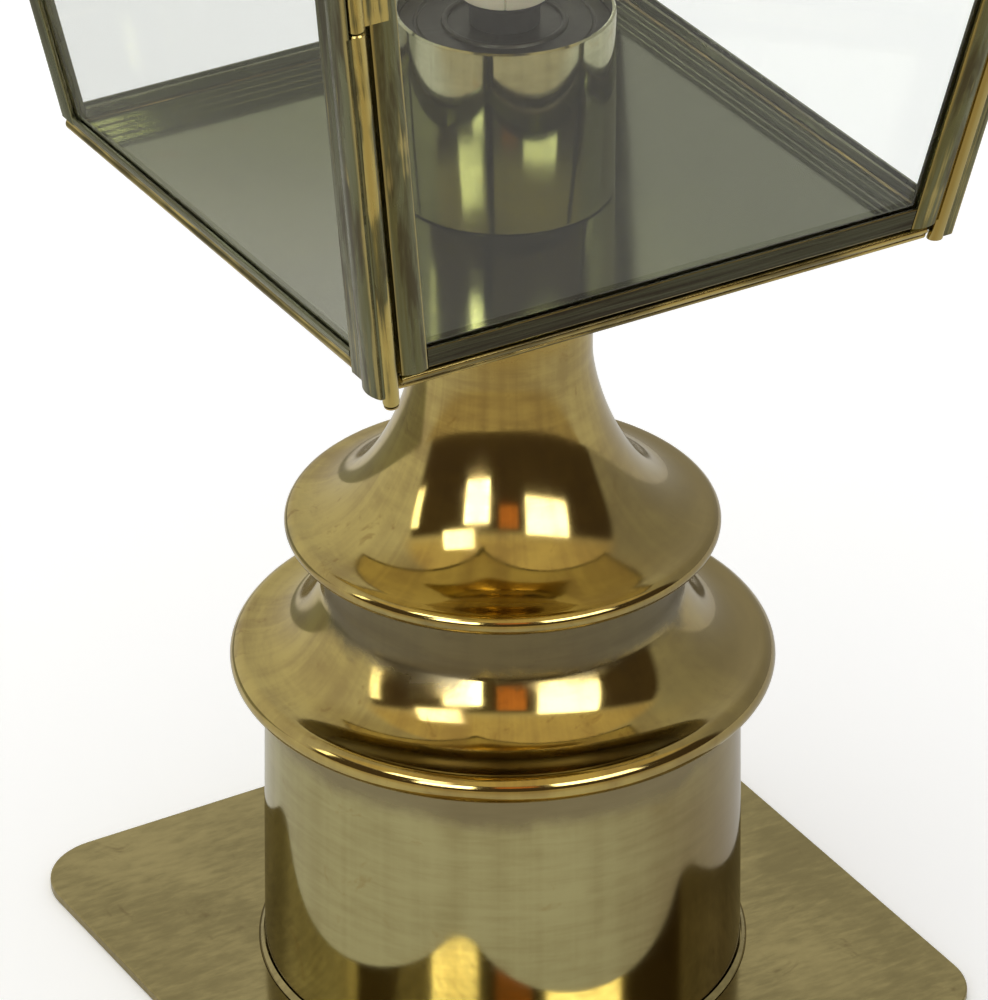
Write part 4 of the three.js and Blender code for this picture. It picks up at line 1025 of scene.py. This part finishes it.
def latch():
    front = -GAP
    back = DEPTH * math.cos(math.atan(LEAN)) + 0.5
    angles = [math.radians(-90 + 9 * k) for k in range(1, 17)]
    ball = [(4.3 * math.cos(a), front - 6.9 + 3.7 * math.sin(a)) for a in angles]
    neck = [(1.9, front - 3.4), (1.9, front - 2.3), (2.2, front - 1.7), (2.6, front - 1.3), (2.6, front)]
    bore = [(SPINDLE_R + GAP, front), (SPINDLE_R + GAP, front - 3.2), (0, front - 3.2)]
    profile = [(0, front - 10.6)] + ball + neck + bore
    turned("latch_knob_turned", profile, flange_brass, 64, 0, LATCH_PLACE, body="latch", node="latch_knob")
    low, high = front - 2.9, back + 2
    spindle = [(0, low), (SPINDLE_R, low), (SPINDLE_R, high - 0.5), (SPINDLE_R - 0.5, high), (0, high)]
    turned("latch_spindle_turned", spindle, raw_brass, 32, 0.1, LATCH_PLACE, body="latch",
           node="latch_spindle")
    half = TONGUE_WIDTH / 2
    flat = [(-half, 3.2), (half, 3.2), (half, -TONGUE_REACH), (-half, -TONGUE_REACH)]
    outline, _ = round_corners(flat, {0: 1.4, 1: 1.4, 2: 0.8, 3: 0.8}, 6)
    prism("latch_tongue_plate", outline, back, back + 1, raw_brass, LATCH_PLACE, 0.15, body="latch",
          node="latch_tongue")


# ---- Lamp ----
def lamp():
    low = PAN_FLOOR_Z + GAP
    inner = CUP_R - SHEET
    cup = [(inner, low), (CUP_R - 0.2, low), (CUP_R, low + 0.4), (CUP_R, CUP_TOP_Z - 1.2),
           (CUP_R - 0.1, CUP_TOP_Z - 0.5), (CUP_R - 0.6, CUP_TOP_Z), (inner + 0.1, CUP_TOP_Z - 0.2),
           (inner, CUP_TOP_Z - 0.8)]
    turned("cup_wall", cup, cup_brass, 180, 0, node="candle_cup")
    low, outer = CUP_DISC_Z, inner - GAP
    high = low + SHEET
    groove = [(outer, high), (24.4, high), (24.0, high - 0.35), (23.5, high - 0.35), (23.1, high)]
    ridge = [(17, high), (16.7, high + 0.7), (16.3, high + 0.9), (15.8, high + 0.9), (15.4, high + 0.7),
             (15.1, high)]
    profile = [(ROD_R + GAP, low), (outer, low)] + groove + ridge + [(ROD_R + GAP, high)]
    turned("cup_disc_spun", profile, disc_bronze, 160, 0, node="cup_disc")

    base = CUP_DISC_Z + SHEET + GAP
    body, mouth = SLEEVE_R - 1.6, SLEEVE_HIGH_Z - 4
    shelf = SLEEVE_LOW_Z - GAP
    holder = [(ROD_R + GAP, base), (9.5, base), (9.5, shelf - 1), (11.6, shelf - 1), (11.6, shelf),
              (body, shelf), (body, mouth), (7.4, mouth), (7.4, mouth - 26), (ROD_R + GAP, mouth - 26)]
    turned("lampholder_body", holder, black_plastic, 80, 0.3, node="lampholder")
    bore = SLEEVE_R - 1.2
    sleeve = [(bore, SLEEVE_LOW_Z), (SLEEVE_R - 0.2, SLEEVE_LOW_Z), (SLEEVE_R, SLEEVE_LOW_Z + 0.3),
              (SLEEVE_R, SLEEVE_HIGH_Z - 0.4), (SLEEVE_R - 0.4, SLEEVE_HIGH_Z), (bore, SLEEVE_HIGH_Z)]
    turned("sleeve_card", sleeve, ivory, 180, 0, seam=(240, 0.45), node="candle_sleeve")

    low, seat = BULB_SEAT_Z - 28, BULB_SEAT_Z - 4
    thread = [(6.7 - 0.55 * (k % 2), low + 4.5 + k * 0.85) for k in range(18)]
    cap = [(0, low), (2.4, low), (3.4, low + 1.6), (5.8, low + 3.6)] + thread + [(6.6, seat), (0, seat)]
    turned("bulb_cap_screw", cap, bulb_metal, 64, 0.1, node="bulb_cap")
    low = seat + GAP
    throat = bezier((6.7, low + 3), (8.5, low + 12), (BULB_R, low + 16), (BULB_R, low + 33), 20)
    point = bezier((BULB_R, low + 33), (BULB_R, low + 52), (6, low + 58), (2.2, low + BULB_H - 2), 24)
    tip = [(1.2, low + BULB_H - 0.4), (0.45, low + BULB_H)]
    skin = [(3.2, low), (6.2, low), (6.7, low + 0.6)] + throat + point[1:] + tip
    turned("bulb_shell", sheet_profile(skin, 0.45), bulb_glass, 96, 0, node="bulb_glass")
    stem = [(0, low + 0.4), (3, low + 0.4), (2.6, low + 5), (1.7, low + 12), (1.4, low + 22), (1.9, low + 24),
            (1.2, low + 26), (0, low + 26.5)]
    turned("bulb_stem", stem, bulb_glass, 40, 0)
    for k in range(4):
        a = math.radians(45 + 90 * k)
        x, y = math.cos(a), math.sin(a)
        path = [(x * 1.2, y * 1.2, low + 25), (x * 4.4, y * 4.4, low + 28), (x * 5.2, y * 5.2, low + 36),
                (x * 3.4, y * 3.4, low + 50), (x * 0.9, y * 0.9, low + 54)]
        tube(f"bulb_filament_{k + 1}", smooth_path(path, 6), 0.45, 10, filament)
    tube("bulb_post", [(0, 0, low + 26), (0, 0, low + 40), (0, 0, low + 55)], 0.4, 10, bulb_metal)


# ---- Cornice, roof, chimney and cap ----
def square_turned(name, skin, thickness, material, **options):
    """A mitred sheet around the square plan: the skin's first value is the half side."""
    profile = sheet_profile(skin, thickness)
    steps = 12
    rings, uvs = [], []
    for half, z in profile:
        ring = []
        for k, corner in enumerate(SQUARE_CORNERS):
            a, b = Vector(corner) * half, Vector(SQUARE_CORNERS[(k + 1) % 4]) * half
            for i in range(steps):
                ring.append((*a.lerp(b, i / steps), z))
                uvs.append(((half + z) * MM, abs(i / steps - 0.5) * half * 2 * MM))
        rings.append(ring)
    verts, faces = sweep(rings, ends=False)
    return bevel(piece(name, verts, faces, material, uvs=uvs, **options), 0.35, 2, 25)


def canopy():
    low, out = CAGE_TOP_Z, CORNICE_HALF
    skin = [(out - 17.5, low + GAP), (out - 11, low + GAP)]
    skin += bezier((out - 10.7, low + 1), (out - 8, low + 4), (out - 8, low + 8), (out - 5, low + 10), 8)
    skin += [(out - 3.6, low + 10.2), (out - 3.2, low + 11.2)]
    skin += bezier((out - 2.8, low + 11.4), (out - 0.2, low + 11.8), (out, low + 15.6),
                   (out - 2.4, low + 15.9), 8)
    skin += [(out - 6, low + 16.4)]
    square_turned("cornice_moulding", skin, 0.9, roof_brass, node="cornice")
    lip = [(ROOF_HALF - 0.6, ROOF_LOW_Z), (ROOF_HALF, ROOF_LOW_Z + 0.5), (ROOF_HALF, ROOF_LOW_Z + 1.6)]
    slope = bezier((ROOF_HALF - 0.6, ROOF_LOW_Z + 2.3), (104, 517), (62, 545),
                   (ROOF_TOP_HALF, ROOF_TOP_Z - 2), 28)
    top = [(ROOF_TOP_HALF, ROOF_TOP_Z - 0.6), (ROOF_TOP_HALF - 0.6, ROOF_TOP_Z), (ROOF_HOLE_HALF, ROOF_TOP_Z)]
    square_turned("roof_sheet", lip + slope + top, SHEET, roof_brass, node="roof", sharp=40)
    for k in range(4):
        path = [(half - 0.5, half - 0.5, z + 0.1) for half, z in slope[1:-1]]
        tube(f"roof_hip_{k + 1}", quarter(path, k), 1.3, 12, roof_brass, node="roof")

    low = ROOF_TOP_Z + GAP
    inner, foot = CHIMNEY_R - SHEET, CHIMNEY_R + 4
    bead = arc(CHIMNEY_R + 0.1, low + 3.3, 1.2, -80, 80, 10)
    wall = [(inner, low), (foot - 0.3, low), (foot, low + 0.4), (foot - 0.4, low + SHEET),
            (CHIMNEY_R + 1.2, low + SHEET + 0.3)] + bead
    wall += [(CHIMNEY_R, CHIMNEY_TOP_Z - 0.6), (CHIMNEY_R - 0.6, CHIMNEY_TOP_Z), (3.6, CHIMNEY_TOP_Z),
             (3.6, CHIMNEY_TOP_Z - SHEET), (inner, CHIMNEY_TOP_Z - SHEET)]
    holes = []
    for k in range(VENT_HOLES):
        turn = Matrix.Rotation(2 * math.pi * k / VENT_HOLES, 4, "Z")
        aim = turn @ at(0, 0, VENT_HOLE_Z) @ Matrix.Rotation(math.pi / 2, 4, "X")
        holes.append(rod_tool(VENT_HOLE_R, 20, 40, aim, 40))
    turned("chimney_wall", wall, roof_brass, 144, 0.2, holes=holes, node="chimney")
    dome = [(0, 0), (1.3, 0), (1.2, 0.4), (0.8, 0.8), (0, 1)]
    outward = at(0, -CHIMNEY_R + 0.1, VENT_HOLE_Z) @ Matrix.Rotation(math.pi / 2, 4, "X")
    for k in range(VENT_HOLES):
        aim = Matrix.Rotation(2 * math.pi * (k + 0.5) / VENT_HOLES, 4, "Z") @ outward
        turned(f"chimney_rivet_{k + 1}", dome, roof_brass, 20, 0, aim)

    roll = arc(CAP_RIM_R - 1.6, CAP_RIM_Z, 1.6, -60, 80, 10)
    flare = bezier(roll[-1], (36, 605), (17, 609), (13, CAP_TOP_Z - 1.6), 28)
    top = [(12.6, CAP_TOP_Z - 0.4), (12, CAP_TOP_Z), (3.6, CAP_TOP_Z)]
    skin = [(CAP_RIM_R - 3, CAP_RIM_Z - 1.2)] + roll + flare[1:] + top
    turned("cap_spun", sheet_profile(skin, 1), roof_brass, 144, 0.15, node="vent_cap")

    low, ball = FINIAL_LOW_Z, FINIAL_LOW_Z + 25
    globe = arc(0, ball, FINIAL_R, -64, 66, 30)
    stalk = [(3, low), (10.2, low), (10.5, low + 0.4), (10.5, low + 1.7), (10, low + 2.1)]
    stalk += bezier((9, low + 2.4), (6.2, low + 3.6), (4.6, low + 6), (4.6, low + 8.2), 10)
    stalk += [(5.6, low + 8.8), (6.0, low + 9.6), (5.6, low + 10.4)]
    tip = bezier((4.2, ball + 12.6), (3.2, ball + 14.4), (2.6, ball + 17), (2.3, ball + 18.6), 8)
    tip += [(1.6, ball + 20.2), (0, ball + 21)]
    profile = [(0, CHIMNEY_TOP_Z - 12), (3, CHIMNEY_TOP_Z - 12)] + stalk + [(5, low + 12)] + globe + tip
    turned("finial_turned", profile, flange_brass, 96, 0, node="finial")
    low = CHIMNEY_TOP_Z - SHEET - GAP - 4
    prism("finial_nut_hex", circle(0, 0, 6, 6), low, low + 4, dark_steel, edge=0.4,
          holes=[rod_tool(3.4, low - 1, low + 5)], node="finial_nut")


base_plate()
drum()
flanges()
fixings()
wiring()
fixed_cage()
hinge()
door()
latch()
lamp()
canopy()


# ---- Materials on the CAD nodes that stay ----
for part in RECORD["subparts"]:
    node = frame["nodes"][part["node"]]
    node.data.materials.clear()
    node.data.materials.append(SLOTS[part["material_slot"]][0])


# ---- Floor, light and camera ----
TOWARD = Vector((math.sin(CAMERA_AZIMUTH), -math.cos(CAMERA_AZIMUTH), 0))
ACROSS = Vector((math.cos(CAMERA_AZIMUTH), math.sin(CAMERA_AZIMUTH), 0))


def along_axis(s, vector, axis):
    node = s.add("VectorMath", {"operation": "DOT_PRODUCT"}, Vector=vector)
    s.feed(node.inputs[1], tuple(axis))
    return node.outputs["Value"]


def reflected(s):
    """1 for rays that have met glossy surfaces only."""
    path = s.add("LightPath")
    mirrored = s.math("GREATER_THAN", path.outputs["Glossy Depth"], 0.5)
    return s.times(mirrored, s.math("LESS_THAN", path.outputs["Diffuse Depth"], 0.5))


def direct_view(s):
    """1 for rays that come straight from the camera, also through glass."""
    path = s.add("LightPath")
    seen = s.math("MAXIMUM", path.outputs["Is Camera Ray"], path.outputs["Is Transmission Ray"])
    bounces = s.plus(path.outputs["Glossy Depth"], path.outputs["Diffuse Depth"])
    return s.times(seen, s.math("LESS_THAN", bounces, 0.5))


def stage_floor():
    """Pale paper. In reflections it is dimmer: warm far in front, with painted shade behind on the left."""
    s = Shader("floor_paper")
    here = s.object_place()
    tone = s.noise(here, 3, 2, 0.5)
    paper = s.mix(tone, (1.30, 1.30, 1.295), (1.27, 1.27, 1.265))
    front = s.ramp(along_axis(s, here, TOWARD), 0.12, 0.5)
    mirrored = s.mix(front, (0.80, 0.79, 0.76), (0.62, 0.53, 0.37))
    # painted shade: in reflections the floor is darkened behind on the left
    corner = s.times(s.ramp(along_axis(s, here, ACROSS), -0.42, -0.28, 1, 0),
                     s.ramp(along_axis(s, here, TOWARD), -0.18, -0.08, 1, 0))
    mirrored = s.mix(corner, mirrored, (0.33, 0.33, 0.27))
    shader = s.add("BsdfDiffuse", Color=s.mix(direct_view(s), mirrored, paper))
    mesh = bpy.data.meshes.new("floor")
    reach = 6.0
    mesh.from_pydata([(-reach, -reach, 0), (reach, -reach, 0), (reach, reach, 0), (-reach, reach, 0)], [],
                     [(0, 1, 2, 3)])
    mesh.materials.append(s.finish(shader.outputs[0]))
    linked("floor", mesh)


# Openings of the light tent, seen from the lantern: azimuth from the camera's side and elevation in
# degrees, low to high, then the softness of the edges and the light's colour.
ROOM = (-80, 95, -90, 38, 3, (0.085, 0.060, 0.036))
CEILING = (-84, 96, 38, 92, 8, (0.70, 0.57, 0.33))
WINDOWS = [
    (-34, -12, 15, 33, 1.0, (8.5, 8.4, 8.1)),
    (21, 58, 21, 39, 1.2, (6.0, 5.9, 5.6)),
    (-52, -25, 36, 48, 1.2, (5.5, 5.4, 5.0)),
    (-80, -74, 14, 32, 1.0, (3.6, 3.5, 3.0)),
    (-3, 14, 25, 36, 1.0, (0.75, 0.28, 0.09)),
]


def studio_light():
    """A white light tent, open toward the camera onto a dark room with bright windows."""
    world = bpy.data.worlds.new("studio")
    bpy.context.scene.world = world
    world.use_nodes = True
    s = Shader.__new__(Shader)
    s.tree = world.node_tree
    s.tree.nodes.clear()
    aim = s.add("TexCoord").outputs["Generated"]
    toward, across, up = (along_axis(s, aim, axis) for axis in (TOWARD, ACROSS, (0, 0, 1)))
    azimuth = s.times(s.math("ARCTAN2", across, toward), math.degrees(1))
    elevation = s.times(s.math("ARCSINE", up), math.degrees(1))

    def opening(low_az, high_az, low_el, high_el, soft):
        mask = None
        for value, low_edge, high_edge in ((azimuth, low_az, high_az), (elevation, low_el, high_el)):
            for edge, inside in ((low_edge, 1), (high_edge, 0)):
                step = s.ramp(value, edge - soft, edge + soft, 1 - inside, inside)
                mask = s.times(mask, step) if mask else step
        return mask

    wall = s.mix(s.ramp(across, -0.7, 0.9), (0.70, 0.69, 0.65), (0.42, 0.41, 0.38))
    tent = s.mix(s.ramp(elevation, 38, 62), wall, (0.50, 0.46, 0.37))
    again = s.math("GREATER_THAN", s.add("LightPath").outputs["Glossy Depth"], 1.5)
    behind = s.times(s.ramp(toward, -0.62, -0.42, 1, 0), s.ramp(elevation, 36, 45, 1, 0))
    tent = s.mix(s.times(again, behind), tent, (0.30, 0.28, 0.22))
    for *place, colour in [CEILING, ROOM] + WINDOWS:
        tent = s.mix(opening(*place), tent, colour)
    soft = s.mix(s.ramp(across, -1, 1), (0.98, 0.98, 0.97), (0.76, 0.76, 0.76))
    seen = s.mix(reflected(s), soft, tent)
    seen = s.mix(direct_view(s), seen, (1.0, 1.0, 1.0))
    background = s.add("Background", Color=seen)
    s.add("OutputWorld", Surface=background.outputs[0])


def make_camera():
    data = bpy.data.cameras.new("camera")
    data.lens = CAMERA_LENS
    data.shift_x = CAMERA_SHIFT_X
    data.clip_start, data.clip_end = 0.05, 50
    camera = linked("camera", data)
    camera.location = CAMERA_AT
    camera.rotation_euler = (math.pi / 2 - CAMERA_PITCH, 0, CAMERA_AZIMUTH)
    bpy.context.scene.camera = camera


stage_floor()
studio_light()
make_camera()
bpy.context.scene.view_settings.view_transform = "Standard"
